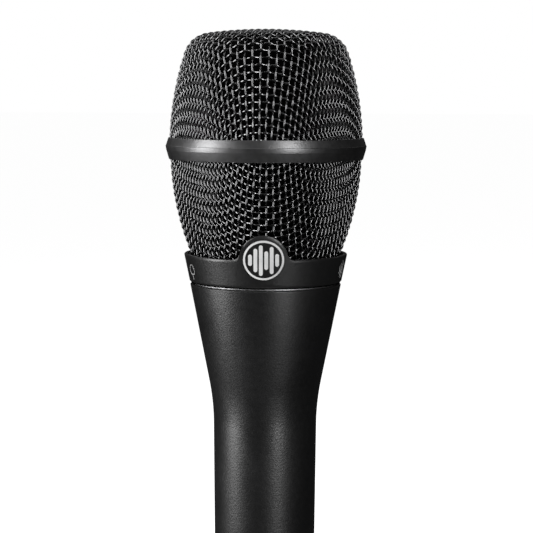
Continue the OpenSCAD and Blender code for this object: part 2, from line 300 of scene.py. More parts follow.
# ---------------------------------------------------------------- finishes


@dataclass(frozen=True)
class Finish:
    """A plain finish, and the start of the others.

    Attributes:
        name: The material's name.
        slot: The record's material slot.
        color: Base colour.
        roughness: Mean roughness.
        metallic: 1 for bare metal.
        specular: Strength of the surface reflection of a coat or a plastic.
    """

    name: str
    slot: str
    color: Color
    roughness: float = 0.5
    metallic: float = 0.0
    specular: float = 0.5

    def material(self) -> bpy.types.Material:
        """Gives the finish's material, and builds it the first time."""
        found = bpy.data.materials.get(self.name)
        if found:
            return found
        made = bpy.data.materials.new(self.name)
        made.use_nodes = True
        made.diffuse_color = (*self.color, 1.0)
        g = Graph(made.node_tree)
        skin = made.node_tree.nodes["Principled BSDF"]
        skin.inputs["Base Color"].default_value = (*self.color, 1.0)
        skin.inputs["Roughness"].default_value = self.roughness
        skin.inputs["Metallic"].default_value = self.metallic
        skin.inputs["Specular IOR Level"].default_value = self.specular
        place = g.add("ShaderNodeTexCoord").outputs["Object"]
        self.detail(g, skin, place)
        return made

    def detail(self, g: Graph, skin: bpy.types.Node, place: bpy.types.NodeSocket) -> None:
        """Adds the finish's own texture.

        Args:
            g: Graph of the material.
            skin: Its Principled BSDF.
            place: Object coordinates.
        """
        self.grained(g, skin, place, 0.0003, 0.00001, 0.06)

    def grained(
        self,
        g: Graph,
        skin: bpy.types.Node,
        place: bpy.types.NodeSocket,
        size: float,
        height: float,
        spread: float,
    ) -> None:
        """Adds a fine grain with uneven gloss.

        Args:
            g: Graph of the material.
            skin: Its Principled BSDF.
            place: Object coordinates.
            size: Size of a grain.
            height: Height of a grain.
            spread: How far the roughness varies each way.
        """
        grain = self.effect(g, Effect.GRAIN, {"Vector": place, "Grain size": size})
        rough = g.ranged(grain.outputs["Mask"], self.roughness - spread, self.roughness + spread)
        g.feed(skin.inputs["Roughness"], rough)
        self.bumped(g, skin, grain.outputs["Height"], height)

    def effect(self, g: Graph, effect: Effect, values: dict) -> bpy.types.Node:
        """Places one of the shared effects.

        Args:
            g: Graph of the material.
            effect: Which one.
            values: Its inputs.

        Returns:
            The group's node.
        """
        node = g.add("ShaderNodeGroup", node_tree=effect.tree())
        for key, value in values.items():
            g.feed(node.inputs[key], value)
        return node

    def bumped(
        self, g: Graph, skin: bpy.types.Node, height: bpy.types.NodeSocket, distance: float
    ) -> None:
        """Feeds the normal from a height.

        Args:
            g: Graph of the material.
            skin: Its Principled BSDF.
            height: Height from 0 to about 1.
            distance: Real height at 1.
        """
        bump = g.add("ShaderNodeBump", {"Height": height, "Distance": distance, "Strength": 1.0})
        g.feed(skin.inputs["Normal"], bump.outputs[0])


@dataclass(frozen=True)
class SprayCoat(Finish):
    """Satin sprayed coat on metal: fine grain, with patches that hands have rubbed.

    Attributes:
        grain: Size of a grain.
        height: Height of a grain.
        rubbed: How much smoother the rubbed patches are.
    """

    grain: float = 0.00022
    height: float = 0.000012
    rubbed: float = 0.07

    def detail(self, g: Graph, skin: bpy.types.Node, place: bpy.types.NodeSocket) -> None:
        """Adds grain, rubbed patches and a faint mottle of colour."""
        grain = self.effect(g, Effect.GRAIN, {"Vector": place, "Grain size": self.grain})
        marks = self.effect(g, Effect.HANDLING, {"Vector": place})
        rough = g.ranged(grain.outputs["Mask"], self.roughness - 0.05, self.roughness + 0.05)
        smoother = g.math("MULTIPLY", marks.outputs["Mask"], self.rubbed)
        g.feed(skin.inputs["Roughness"], g.math("SUBTRACT", rough, smoother))
        light = tuple(min(1.0, c * 1.35 + 0.001) for c in self.color)
        mottle = g.mix(grain.outputs["Mask"], (*self.color, 1.0), (*light, 1.0))
        g.feed(skin.inputs["Base Color"], mottle)
        self.bumped(g, skin, grain.outputs["Height"], self.height)


@dataclass(frozen=True)
class TurnedMetal(Finish):
    """Bare or plated metal with fine lines round its axis.

    Attributes:
        pitch: Width of a line.
        height: Depth of a line.
    """

    metallic: float = 1.0
    pitch: float = 0.00012
    height: float = 0.000002

    def detail(self, g: Graph, skin: bpy.types.Node, place: bpy.types.NodeSocket) -> None:
        """Adds turning lines, tarnish and uneven gloss."""
        lines = self.effect(g, Effect.TURNING, {"Vector": place, "Line pitch": self.pitch})
        marks = self.effect(g, Effect.HANDLING, {"Vector": place, "Patch size": 0.006})
        rough = g.ranged(lines.outputs["Height"], self.roughness - 0.08, self.roughness + 0.08)
        duller = g.math("MULTIPLY", marks.outputs["Mask"], 0.06)
        g.feed(skin.inputs["Roughness"], g.math("ADD", rough, duller))
        dull = tuple(c * 0.82 for c in self.color)
        g.feed(skin.inputs["Base Color"], g.mix(marks.outputs["Mask"], (*self.color, 1.0), (*dull, 1.0)))
        self.bumped(g, skin, lines.outputs["Height"], self.height)


@dataclass(frozen=True)
class CoatedWire(Finish):
    """Drawn wire under a thin black coat, with draw lines and small pits."""

    def detail(self, g: Graph, skin: bpy.types.Node, place: bpy.types.NodeSocket) -> None:
        """Adds pits and a slow change of gloss from wire to wire."""
        grain = self.effect(g, Effect.GRAIN, {"Vector": place, "Grain size": 0.00011, "Unevenness": 0.8})
        slow = g.add("ShaderNodeTexNoise", {"Vector": place, "Scale": 420.0, "Detail": 2.0})
        rough = g.ranged(slow.outputs["Fac"], self.roughness - 0.06, self.roughness + 0.06)
        g.feed(skin.inputs["Roughness"], rough)
        worn = tuple(min(1.0, c * 1.5) for c in self.color)
        g.feed(skin.inputs["Base Color"], g.mix(grain.outputs["Mask"], (*self.color, 1.0), (*worn, 1.0)))
        self.bumped(g, skin, grain.outputs["Height"], 0.000002)


@dataclass(frozen=True)
class OpenCellFoam(Finish):
    """Dark foam with open cells.

    Attributes:
        cell: Size of a cell.
    """

    cell: float = 0.0007

    def detail(self, g: Graph, skin: bpy.types.Node, place: bpy.types.NodeSocket) -> None:
        """Adds cells: struts round holes, with painted shade making the holes darker."""
        warped = g.add("ShaderNodeTexNoise", {"Vector": place, "Scale": 900.0, "Detail": 2.0})
        shift = g.add(
            "ShaderNodeVectorMath", {0: warped.outputs["Color"], "Scale": 0.0004}, operation="SCALE"
        )
        bent = g.add("ShaderNodeVectorMath", {0: place, 1: shift.outputs[0]}, operation="ADD")
        cells = g.add(
            "ShaderNodeTexVoronoi",
            {"Vector": bent.outputs[0], "Scale": 1.0 / self.cell},
            feature="DISTANCE_TO_EDGE",
        )
        strut = g.add("ShaderNodeMapRange", {"Value": cells.outputs["Distance"], "From Max": 0.32})
        # Painted shade: the holes are coloured a quarter as bright as the struts.
        hole_shade = tuple(c * 0.25 for c in self.color)
        g.feed(skin.inputs["Base Color"], g.mix(strut.outputs[0], (*self.color, 1.0), (*hole_shade, 1.0)))
        height = g.math("SUBTRACT", 1.0, strut.outputs[0])
        skin.inputs["Sheen Weight"].default_value = 0.01
        self.bumped(g, skin, height, 0.00018)


@dataclass(frozen=True)
class MouldedPlastic(Finish):
    """Moulded plastic or rubber with a fine spark-eroded grain.

    Attributes:
        grain: Size of a grain.
        height: Height of a grain.
    """

    grain: float = 0.0003
    height: float = 0.00001

    def detail(self, g: Graph, skin: bpy.types.Node, place: bpy.types.NodeSocket) -> None:
        """Adds grain and a faint change of colour in patches."""
        self.grained(g, skin, place, self.grain, self.height, 0.07)
        marks = self.effect(g, Effect.HANDLING, {"Vector": place, "Patch size": 0.01})
        pale = tuple(min(1.0, c * 1.25 + 0.003) for c in self.color)
        g.feed(skin.inputs["Base Color"], g.mix(marks.outputs["Mask"], (*self.color, 1.0), (*pale, 1.0)))


@dataclass(frozen=True)
class WovenCloth(Finish):
    """Fine plain cloth.

    Attributes:
        pitch: Distance between threads.
    """

    pitch: float = 0.00035

    def detail(self, g: Graph, skin: bpy.types.Node, place: bpy.types.NodeSocket) -> None:
        """Adds threads, with painted shade darkening the gaps between them."""
        weave = self.effect(g, Effect.CLOTH, {"Vector": place, "Thread pitch": self.pitch})
        # Painted shade: the gaps between threads are coloured a fifth as bright.
        dark = tuple(c * 0.2 for c in self.color)
        g.feed(skin.inputs["Base Color"], g.mix(weave.outputs["Mask"], (*dark, 1.0), (*self.color, 1.0)))
        self.bumped(g, skin, weave.outputs["Height"], self.pitch * 0.2)


@dataclass(frozen=True)
class Felt(Finish):
    """Pressed felt with loose fibres."""

    def detail(self, g: Graph, skin: bpy.types.Node, place: bpy.types.NodeSocket) -> None:
        """Adds fibres and lint."""
        fibres = g.add(
            "ShaderNodeTexNoise", {"Vector": place, "Scale": 2500.0, "Detail": 6.0, "Distortion": 3.0}
        )
        dark = tuple(c * 0.55 for c in self.color)
        g.feed(skin.inputs["Base Color"], g.mix(fibres.outputs["Fac"], (*dark, 1.0), (*self.color, 1.0)))
        skin.inputs["Sheen Weight"].default_value = 0.4
        self.bumped(g, skin, fibres.outputs["Fac"], 0.0002)


SATIN = {"specular": 1.0, "grain": 0.0004, "height": 0.000022}
HANDLE_COAT = SprayCoat("satin_black_coat", "satin_black_paint", (0.004, 0.004, 0.0042), 0.39, **SATIN)
COLLAR_COAT = SprayCoat("collar_coat", "collar_paint", (0.005, 0.005, 0.0052), 0.38, **SATIN)
BAND_COAT = SprayCoat("band_coat", "band_paint", (0.18, 0.18, 0.182), 0.4, 1.0, grain=0.0004, height=0.000016)
WIRE = CoatedWire("coated_wire", "wire_black", (0.155, 0.155, 0.157), 0.17, 1.0)
FOAM = OpenCellFoam("open_cell_foam", "foam", (0.003, 0.003, 0.003), 0.95, specular=0.05)
SHELL_NICKEL = TurnedMetal("satin_nickel", "nickel_shell", (0.66, 0.64, 0.6), 0.3)
INSULATOR = MouldedPlastic("insulator_plastic", "black_insulator", (0.014, 0.014, 0.015), 0.45)
GOLD = TurnedMetal("gold_flash", "gold_contact", (0.86, 0.62, 0.27), 0.22)
BRONZE = TurnedMetal("spring_bronze", "spring_bronze", (0.62, 0.4, 0.2), 0.35)
BLACK_STEEL = TurnedMetal("black_oxide_steel", "black_steel", (0.09, 0.09, 0.095), 0.38)
RED_LEAD = MouldedPlastic("red_insulation", "red_lead", (0.4, 0.02, 0.02), 0.4, height=0.000003)
TAN_LEAD = MouldedPlastic("tan_insulation", "tan_lead", (0.6, 0.47, 0.25), 0.4, height=0.000003)
CASTING = MouldedPlastic("cast_alloy", "cast_ring", (0.5, 0.5, 0.51), 0.48, 1.0, grain=0.0005, height=0.00003)
BADGE_SILVER = TurnedMetal("badge_silver", "badge_metal", (0.93, 0.93, 0.93), 0.5, 0.05, pitch=0.00005)
BADGE_INLAY = MouldedPlastic("badge_enamel", "badge_metal", (0.012, 0.012, 0.012), 0.3, height=0.000002)
MARK_INK = MouldedPlastic("marking_ink", "collar_paint", (0.55, 0.55, 0.55), 0.5, height=0.000002)
CRADLE = MouldedPlastic("cradle_nylon", "cradle_plastic", (0.022, 0.023, 0.026), 0.52)
RUBBER = MouldedPlastic("soft_rubber", "soft_rubber", (0.03, 0.03, 0.03), 0.72, grain=0.0004, height=0.00002)
CAPSULE = MouldedPlastic("capsule_plastic", "capsule_plastic", (0.045, 0.046, 0.052), 0.42)
SCREEN = WovenCloth("screen_cloth", "screen_cloth", (0.2, 0.2, 0.21), 0.7)
CLAMP = TurnedMetal("clamp_brass", "clamp_brass", (0.5, 0.38, 0.2), 0.4)
FILM = MouldedPlastic("diaphragm_film", "diaphragm_film", (0.72, 0.62, 0.36), 0.2, height=0.000002)
CARRIER = MouldedPlastic("carrier_plastic", "carrier_plastic", (0.1, 0.12, 0.16), 0.5)
YOKE = TurnedMetal("zinc_plate", "yoke_steel", (0.55, 0.57, 0.6), 0.32)
MAGNET = TurnedMetal("magnet_nickel", "magnet_plate", (0.7, 0.7, 0.7), 0.2)
FELT = Felt("port_felt", "felt", (0.3, 0.3, 0.31), 0.95)
BOARD = MouldedPlastic("solder_mask", "circuit_board", (0.02, 0.16, 0.06), 0.3, height=0.000004)
COPPER = TurnedMetal("enamelled_copper", "coil_copper", (0.6, 0.25, 0.1), 0.28)
# Near-black and without gloss: painted shade for the groove between collar and handle.
SEAM_SHADE = Finish("seam_shade_black", "soft_rubber", (0.001, 0.001, 0.001), 0.95, specular=0.0)
RING_STEEL = TurnedMetal("plain_steel", "inner_ring_steel", (0.3, 0.3, 0.31), 0.4)


# ---------------------------------------------------------------- meshes


def new_piece(name: str, mesh: bpy.types.Mesh, finish: Finish | None) -> bpy.types.Object:
    """Makes an object at the origin from a mesh.

    Args:
        name: The piece's name.
        mesh: Its mesh.
        finish: Its finish, or None if the mesh has its materials.

    Returns:
        The object.
    """
    mesh.name = name
    if finish:
        mesh.materials.clear()
        mesh.materials.append(finish.material())
    piece = bpy.data.objects.new(name, mesh)
    bpy.context.scene.collection.objects.link(piece)
    return piece


def put(piece: bpy.types.Object, body: str, slot: str, *nodes: str) -> bpy.types.Object:
    """Joins a finished piece to the frame and reports it.

    Args:
        piece: The object.
        body: Body that it rides on.
        slot: Its material slot in the record; not used.
        nodes: CAD nodes that it stands for.

    Returns:
        The same object.
    """
    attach(piece, body)
    if nodes:
        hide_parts(*nodes)
    LOG.info("%s: %d faces on %s", piece.name, len(piece.data.polygons), body)
    return piece


def dress(node: str, finish: Finish) -> None:
    """Gives a CAD node its finish.

    Args:
        node: Name of the node.
        finish: The finish.
    """
    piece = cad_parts[node]
    piece.data.materials.clear()
    piece.data.materials.append(finish.material())
    LOG.info("%s: dressed in %s", node, finish.name)


def arc(centre: Point, radius: float, start: float, end: float, steps: int) -> list[Point]:
    """Points along an arc in a plane.

    Args:
        centre: Its centre.
        radius: Its radius.
        start: First angle in degrees.
        end: Last angle in degrees.
        steps: Number of steps between them.

    Returns:
        The points, both ends included.
    """
    turns = [math.radians(start + (end - start) * k / steps) for k in range(steps + 1)]
    return [(centre[0] + radius * math.cos(a), centre[1] + radius * math.sin(a)) for a in turns]


def eased(corners: Sequence[Point], radius: float, steps: int = 3, closed: bool = True) -> list[Point]:
    """Rounds the corners of an outline, as real edges are.

    Args:
        corners: The outline.
        radius: Radius at each corner, less where an edge is too short for it.
        steps: Steps in each rounding.
        closed: False if the outline has two free ends, which stay.

    Returns:
        The rounded outline.
    """
    count = len(corners)
    out: list[Point] = []
    for k, here in enumerate(corners):
        if not closed and k in (0, count - 1):
            out.append(here)
            continue
        p = Vector(here)
        before, after = Vector(corners[k - 1]) - p, Vector(corners[(k + 1) % count]) - p
        angle = before.angle(after)
        if angle > math.radians(172):
            out.append(here)
            continue
        reach = min(radius / math.tan(angle / 2), before.length * 0.45, after.length * 0.45)
        a, b = p + before.normalized() * reach, p + after.normalized() * reach
        for s in range(steps + 1):
            t = s / steps
            q = a * (1 - t) ** 2 + p * (2 * t * (1 - t)) + b * t**2
            out.append((q.x, q.y))
    return out


def shade(mesh: bpy.types.Mesh, sharp_degrees: float = 38.0) -> bpy.types.Mesh:
    """Smooths a mesh, except across edges sharper than an angle.

    Args:
        mesh: The mesh.
        sharp_degrees: The angle.

    Returns:
        The same mesh.
    """
    mesh.polygons.foreach_set("use_smooth", [True] * len(mesh.polygons))
    mesh.set_sharp_from_angle(angle=math.radians(sharp_degrees))
    return mesh


def closed_mesh(verts: Sequence[Sequence[float]], faces: Sequence[Sequence[int]]) -> bpy.types.Mesh:
    """A closed mesh with its doubles merged and its faces outwards.

    Args:
        verts: Places of the vertices.
        faces: Vertex numbers of each face.

    Returns:
        The mesh, smooth except at its edges.
    """
    mesh = bpy.data.meshes.new("closed")
    mesh.from_pydata([tuple(v) for v in verts], [], [tuple(f) for f in faces])
    work = bmesh.new()
    work.from_mesh(mesh)
    bmesh.ops.remove_doubles(work, verts=work.verts, dist=1e-7)
    bmesh.ops.dissolve_degenerate(work, edges=work.edges, dist=1e-8)
    bmesh.ops.recalc_face_normals(work, faces=work.faces)
    work.to_mesh(mesh)
    work.free()
    return shade(mesh)


def turned(outline: Sequence[Point], segments: int = 192) -> bpy.types.Mesh:
    """Turns a closed outline round Z.

    Args:
        outline: Radius and height of each corner, in metres.
        segments: Number of steps round.

    Returns:
        The closed mesh.
    """
    count = len(outline)
    turns = [2 * math.pi * k / segments for k in range(segments)]
    verts = [(r * math.cos(a), r * math.sin(a), z) for a in turns for r, z in outline]
    faces = []
    for k in range(segments):
        here, there = k * count, (k + 1) % segments * count
        for n in range(count):
            m = (n + 1) % count
            if max(outline[n][0], outline[m][0]) < 1e-9:
                continue
            faces.append((here + n, there + n, there + m, here + m))
    return closed_mesh(verts, faces)


# ---------------------------------------------------------------- grown pieces


class Grower:
    """A Geometry Nodes tree that makes a piece from a line or from its own sizes."""

    def __init__(self, name: str, sizes: dict[str, float | int]) -> None:
        """Starts the tree.

        Args:
            name: Name of the tree.
            sizes: Input name to its default; a whole number makes an integer input.
        """
        self.tree = bpy.data.node_groups.new(name, "GeometryNodeTree")
        self.tree.is_modifier = True
        face = self.tree.interface
        face.new_socket("Geometry", in_out="INPUT", socket_type="NodeSocketGeometry")
        for key, value in sizes.items():
            kind = "NodeSocketInt" if isinstance(value, int) else "NodeSocketFloat"
            face.new_socket(key, in_out="INPUT", socket_type=kind).default_value = value
        face.new_socket("Finish", in_out="INPUT", socket_type="NodeSocketMaterial")
        face.new_socket("Geometry", in_out="OUTPUT", socket_type="NodeSocketGeometry")
        self.graph = Graph(self.tree)
        self.source = self.graph.add("NodeGroupInput").outputs
        self.sink = self.graph.add("NodeGroupOutput")

    def end(self, geometry: bpy.types.NodeSocket) -> None:
        """Ends the tree: smooth faces, real geometry, and the finish.

        Args:
            geometry: What the tree has made.
        """
        g = self.graph
        smooth = g.add("GeometryNodeSetShadeSmooth", {"Geometry": geometry})
        real = g.add("GeometryNodeRealizeInstances", {"Geometry": smooth.outputs[0]})
        dressed = g.add(
            "GeometryNodeSetMaterial", {"Geometry": real.outputs[0], "Material": self.source["Finish"]}
        )
        g.feed(self.sink.inputs["Geometry"], dressed.outputs[0])

    def grow(self, start: bpy.types.Mesh, finish: Finish, sizes: dict[str, float | int]) -> bpy.types.Mesh:
        """Runs the tree on a mesh.

        Args:
            start: The mesh it starts from, which may be empty.
            finish: Finish of what it makes.
            sizes: Input name to value, for those that aren't left at their default.

        Returns:
            A plain mesh.
        """
        seedling = bpy.data.objects.new("seedling", start)
        bpy.context.scene.collection.objects.link(seedling)
        modifier = seedling.modifiers.new("grow", "NODES")
        modifier.node_group = self.tree
        for item in self.tree.interface.items_tree:
            if item.in_out == "INPUT" and item.name in sizes:
                modifier[item.identifier] = sizes[item.name]
            elif item.in_out == "INPUT" and item.name == "Finish":
                modifier[item.identifier] = finish.material()
        graph = bpy.context.evaluated_depsgraph_get()
        mesh = bpy.data.meshes.new_from_object(seedling.evaluated_get(graph), depsgraph=graph)
        seedling.modifiers.remove(modifier)
        bpy.data.objects.remove(seedling)
        if not mesh.materials:
            mesh.materials.append(finish.material())
        return mesh


class WireGrower(Grower):
    """Sweeps a round wire along lines."""

    def __init__(self) -> None:
        """Builds the tree."""
        super().__init__("swept wire", {"Wire radius": 0.25 * MM, "Sides": 8})
        g = self.graph
        lines = g.add("GeometryNodeMeshToCurve", {"Mesh": self.source["Geometry"]})
        section = g.add(
            "GeometryNodeCurvePrimitiveCircle",
            {"Resolution": self.source["Sides"], "Radius": self.source["Wire radius"]},
        )
        wire = g.add(
            "GeometryNodeCurveToMesh",
            {"Curve": lines.outputs[0], "Profile Curve": section.outputs[0], "Fill Caps": True},
        )
        self.end(wire.outputs[0])

    def along(
        self, lines: Iterable[np.ndarray], radius: float, finish: Finish, sides: int = 8
    ) -> bpy.types.Mesh:
        """Makes wires along lines of points.

        Args:
            lines: One array of points for each wire.
            radius: Radius of the wire.
            finish: Its finish.
            sides: Number of sides of its section.

        Returns:
            The mesh of all the wires.
        """
        points: list[np.ndarray] = []
        edges: list[tuple[int, int]] = []
        for line in lines:
            first = len(points)
            points.extend(line)
            edges.extend((first + k, first + k + 1) for k in range(len(line) - 1))
        path = bpy.data.meshes.new("path")
        path.from_pydata([tuple(p) for p in points], edges, [])
        return self.grow(path, finish, {"Wire radius": radius, "Sides": sides})


class HelixGrower(Grower):
    """Winds a ridge or a wire round Z."""

    def __init__(self) -> None:
        """Builds the tree."""
        sizes = {
            "Turns": 3.0,
            "Radius": 18.0 * MM,
            "Rise": 3.0 * MM,
            "Bottom": 130.0 * MM,
            "Ridge": 0.3 * MM,
            "Sides": 4,
            "Steps per turn": 96,
        }
        super().__init__("wound helix", sizes)
        g, source = self.graph, self.source
        spiral = g.add(
            "GeometryNodeCurveSpiral",
            {
                "Resolution": source["Steps per turn"],
                "Rotations": source["Turns"],
                "Start Radius": source["Radius"],
                "End Radius": source["Radius"],
                "Height": source["Rise"],
            },
        )
        lift = g.add("ShaderNodeCombineXYZ", {2: source["Bottom"]})
        placed = g.add(
            "GeometryNodeTransform", {"Geometry": spiral.outputs[0], "Translation": lift.outputs[0]}
        )
        section = g.add(
            "GeometryNodeCurvePrimitiveCircle", {"Resolution": source["Sides"], "Radius": source["Ridge"]}
        )
        wound = g.add(
            "GeometryNodeCurveToMesh",
            {"Curve": placed.outputs[0], "Profile Curve": section.outputs[0], "Fill Caps": True},
        )
        self.end(wound.outputs[0])

    def wind(self, finish: Finish, sizes: dict[str, float | int]) -> bpy.types.Mesh:
        """Winds one helix.

        Args:
            finish: Its finish.
            sizes: The tree's inputs.

        Returns:
            The mesh.
        """
        return self.grow(bpy.data.meshes.new("empty"), finish, sizes)


class FoamGrower(Grower):
    """Roughens a smooth shell into open-cell foam."""

    def __init__(self) -> None:
        """Builds the tree."""
        super().__init__("foam skin", {"Cell size": 0.8 * MM, "Depth": 0.15 * MM, "Seed": 3.0})
        g, source = self.graph, self.source
        scale = g.math("DIVIDE", 1.0, source["Cell size"])
        cells = g.add(
            "ShaderNodeTexNoise", {"Scale": scale, "W": source["Seed"], "Detail": 2.0}, noise_dimensions="4D"
        )
        centred = g.math("SUBTRACT", cells.outputs["Fac"], 0.5)
        height = g.math("MULTIPLY", centred, source["Depth"])
        normal = g.add("GeometryNodeInputNormal")
        push = g.add("ShaderNodeVectorMath", {0: normal.outputs[0], "Scale": height}, operation="SCALE")
        moved = g.add("GeometryNodeSetPosition", {"Geometry": source["Geometry"], "Offset": push.outputs[0]})
        self.end(moved.outputs[0])


# ---------------------------------------------------------------- grille


@dataclass(frozen=True)
class WireCloth:
    """Square wire cloth before it is formed.

    Attributes:
        wire: Diameter of the wire.
        warp_pitch: Distance between the wires that stand up at the front.
        weft_pitch: Distance between the wires that lie across at the front.
        crimp: How far a wire swings each way as it passes over and under.
        stretched: How much closer the wires stand half-way between the two lines that the cloth hangs
            from than they do on those lines.
        flat_to: Distance from the middle where the cloth starts to stretch.
        formed_from: Distance from the middle where it has stretched fully.
        steps: Points along a wire for each crossing.
    """

    wire: float = 0.56 * MM
    warp_pitch: float = 1.69 * MM
    weft_pitch: float = 1.8 * MM
    crimp: float = 0.28 * MM
    stretched: float = 0.36
    flat_to: float = 13.0 * MM
    formed_from: float = 27.0 * MM
    steps: int = 4


class FormedCloth:
    """Wire cloth formed over a turned shape.

    The meshes of the cloth keep the lengths of their sides and only shear, so the crossings are found one
    after another from the two lines that cross at the middle of the shape.
    """

    def __init__(self, cloth: WireCloth, outline: Sequence[Point], side: float, turn: float) -> None:
        """Finds the crossings.

        Args:
            cloth: The flat cloth.
            outline: Radius and height of the middle of the cloth, from the axis outwards, in close steps.
            side: 1 if the outline has the outside on its left, or -1.
            turn: Angle in degrees that the cloth is turned by round Z.
        """
        self.cloth = cloth
        self.outline = np.array(outline)
        self.side = side
        self.turn = math.radians(turn)
        steps = np.hypot(*np.diff(self.outline, axis=0).T)
        self.run = np.concatenate([[0.0], np.cumsum(steps)])
        self.slope = np.gradient(self.outline, self.run, axis=0)
        self.crossings = self.solve()

    def at(self, run: float, angle: float) -> np.ndarray:
        """Point of the shape at a distance from its middle and an angle."""
        radius, height = (float(np.interp(run, self.run, self.outline[:, k])) for k in (0, 1))
        return np.array([radius * math.cos(angle), radius * math.sin(angle), height])

    def tangents(self, run: float, angle: float) -> tuple[np.ndarray, np.ndarray]:
        """Directions along the outline and round the axis, per unit of run and of angle."""
        rise_r, rise_z = (float(np.interp(run, self.run, self.slope[:, k])) for k in (0, 1))
        radius = float(np.interp(run, self.run, self.outline[:, 0]))
        c, s = math.cos(angle), math.sin(angle)
        return np.array([rise_r * c, rise_r * s, rise_z]), np.array([-radius * s, radius * c, 0.0])

    def corner(self, a: np.ndarray, b: np.ndarray, c: np.ndarray) -> tuple[float, float] | None:
        """Fourth corner of a mesh of the cloth.

        Args:
            a: Corner on the same weft wire.
            b: Corner on the same warp wire.
            c: Corner across from the new one.

        Returns:
            The new corner's run and angle, or None if the cloth can't reach.
        """
        guess = a + b - c
        angle = math.atan2(guess[1], guess[0])
        flat = np.array([math.hypot(guess[0], guess[1]), guess[2]])
        run = float(self.run[np.argmin(((self.outline - flat) ** 2).sum(1))])
        sides = (self.cloth.warp_pitch, self.cloth.weft_pitch)
        miss = np.ones(2)
        for _ in range(12):
            here = self.at(run, angle)
            out, around = self.tangents(run, angle)
            legs = (here - a, here - b)
            miss = np.array([leg @ leg - size**2 for leg, size in zip(legs, sides)])
            matrix = np.array([[2 * leg @ out, 2 * leg @ around] for leg in legs])
            if abs(np.linalg.det(matrix)) < 1e-15:
                return None
            step = np.linalg.solve(matrix, -miss)
            run += float(np.clip(step[0], -MM, MM))
            angle += float(np.clip(step[1], -0.1, 0.1))
        return (run, angle) if np.abs(miss).max() < 1e-9 else None

    def solve(self) -> dict[tuple[int, int], np.ndarray]:
        """Finds every crossing of a quarter and mirrors it to the other three.

        Returns:
            Warp and weft number to the crossing's place and outward normal, in one row of six.
        """
        limit = self.run[-1]
        spots: dict[tuple[int, int], tuple[float, float]] = {}
        warps, wefts = (int(limit / pitch) + 1 for pitch in (self.cloth.warp_pitch, self.cloth.weft_pitch))
        for j in range(wefts):
            for i in range(warps):
                if i == 0 or j == 0:
                    run = i * self.cloth.warp_pitch + j * self.cloth.weft_pitch
                    spot = (run, math.pi / 2 if i == 0 else 0.0)
                else:
                    near = [spots.get(key) for key in ((i - 1, j), (i, j - 1), (i - 1, j - 1))]
                    if None in near:
                        continue
                    spot = self.corner(*(self.at(*n) for n in near))
                if spot and spot[0] <= limit:
                    spots[i, j] = spot
        whole = {}
        for (i, j), (run, angle) in self.shared_out(spots).items():
            rise_r, rise_z = (float(np.interp(run, self.run, self.slope[:, k])) for k in (0, 1))
            normal = np.array([-rise_z * math.cos(angle), -rise_z * math.sin(angle), rise_r]) * self.side
            row = np.concatenate([self.at(run, angle), normal])
            for x in (1, -1):
                for y in (1, -1):
                    whole[i * x, j * y] = row * np.array([x, y, 1, x, y, 1])
        return whole

    def shared_out(
        self, spots: dict[tuple[int, int], tuple[float, float]]
    ) -> dict[tuple[int, int], tuple[float, float]]:
        """Spreads the wires where shear has brought them together, since formed wires stretch and slip.

        Args:
            spots: Warp and weft number to the crossing's run and angle, for a quarter.

        Returns:
            The same with new angles.
        """
        half = math.pi / 4
        halfway: list[tuple[list[float], list[int]]] = []
        for family in (0, 1):
            lines: dict[int, list[tuple[float, float]]] = {}
            for key, (run, angle) in spots.items():
                lines.setdefault(key[family], []).append((angle if family == 0 else 2 * half - angle, run))
            passed = sorted(
                (float(np.interp(half, *zip(*sorted(line)))), number)
                for number, line in lines.items()
                if min(line)[0] <= half <= max(line)[0]
            )
            halfway.append(([run for run, _ in passed], [number for _, number in passed]))
        close = 1.0 - self.cloth.stretched
        out = {}
        for (i, j), (run, angle) in spots.items():
            family = 0 if angle > half else 1
            near, number = (2 * half - angle, i) if family == 0 else (angle, j)
            share = min(1.0, number / max(1.0, float(np.interp(run, *halfway[family]))))
            even = half * (1.0 - close**share) / self.cloth.stretched
            t = min(1.0, max(0.0, (run - self.cloth.flat_to) / (self.cloth.formed_from - self.cloth.flat_to)))
            near += (even - near) * t * t * (3.0 - 2.0 * t)
            out[i, j] = (run, 2 * half - near if family == 0 else near)
        return out

    def wires(self, across: bool, low: float, high: float) -> list[np.ndarray]:
        """Lines of the wires of one family, woven over and under the other.

        Args:
            across: True for the weft, False for the warp.
            low: Height below which wires are cut off.
            high: Height above which wires are cut off.

        Returns:
            One array of points for each length of wire.
        """
        keys = sorted(self.crossings, key=lambda k: (k[1], k[0]) if across else k)
        families: dict[int, list[tuple[int, int]]] = {}
        for key in keys:
            families.setdefault(key[1] if across else key[0], []).append(key)
        lines = []
        for members in families.values():
            if len(members) > 1:
                lines.extend(self.cut(self.woven(members, 1.0 if across else -1.0), low, high))
        return lines

    def woven(self, members: list[tuple[int, int]], phase: float) -> np.ndarray:
        """One wire's line through its crossings.

        Args:
            members: The crossings in order.
            phase: 1 or -1, opposite for the two families.

        Returns:
            Points along the wire.
        """
        rows = np.array([self.crossings[m] for m in members])
        ghost = np.vstack([2 * rows[0] - rows[1], rows, 2 * rows[-1] - rows[-2]])
        line = []
        for k in range(len(rows) - 1):
            p0, p1, p2, p3 = ghost[k : k + 4]
            sign = phase * (-1) ** (sum(members[k]) % 2)
            for step in range(self.cloth.steps + (k == len(rows) - 2)):
                t = step / self.cloth.steps
                curve = (
                    p1
                    + 0.5 * t * (p2 - p0)
                    + t**2 * (p0 - 2.5 * p1 + 2 * p2 - 0.5 * p3)
                    + t**3 * (1.5 * (p1 - p2) + 0.5 * (p3 - p0))
                )
                normal = curve[3:] / np.linalg.norm(curve[3:])
                line.append(curve[:3] + normal * sign * self.cloth.crimp * math.cos(math.pi * t))
        c, s = math.cos(self.turn), math.sin(self.turn)
        return np.array(line) @ np.array([[c, s, 0], [-s, c, 0], [0, 0, 1]])

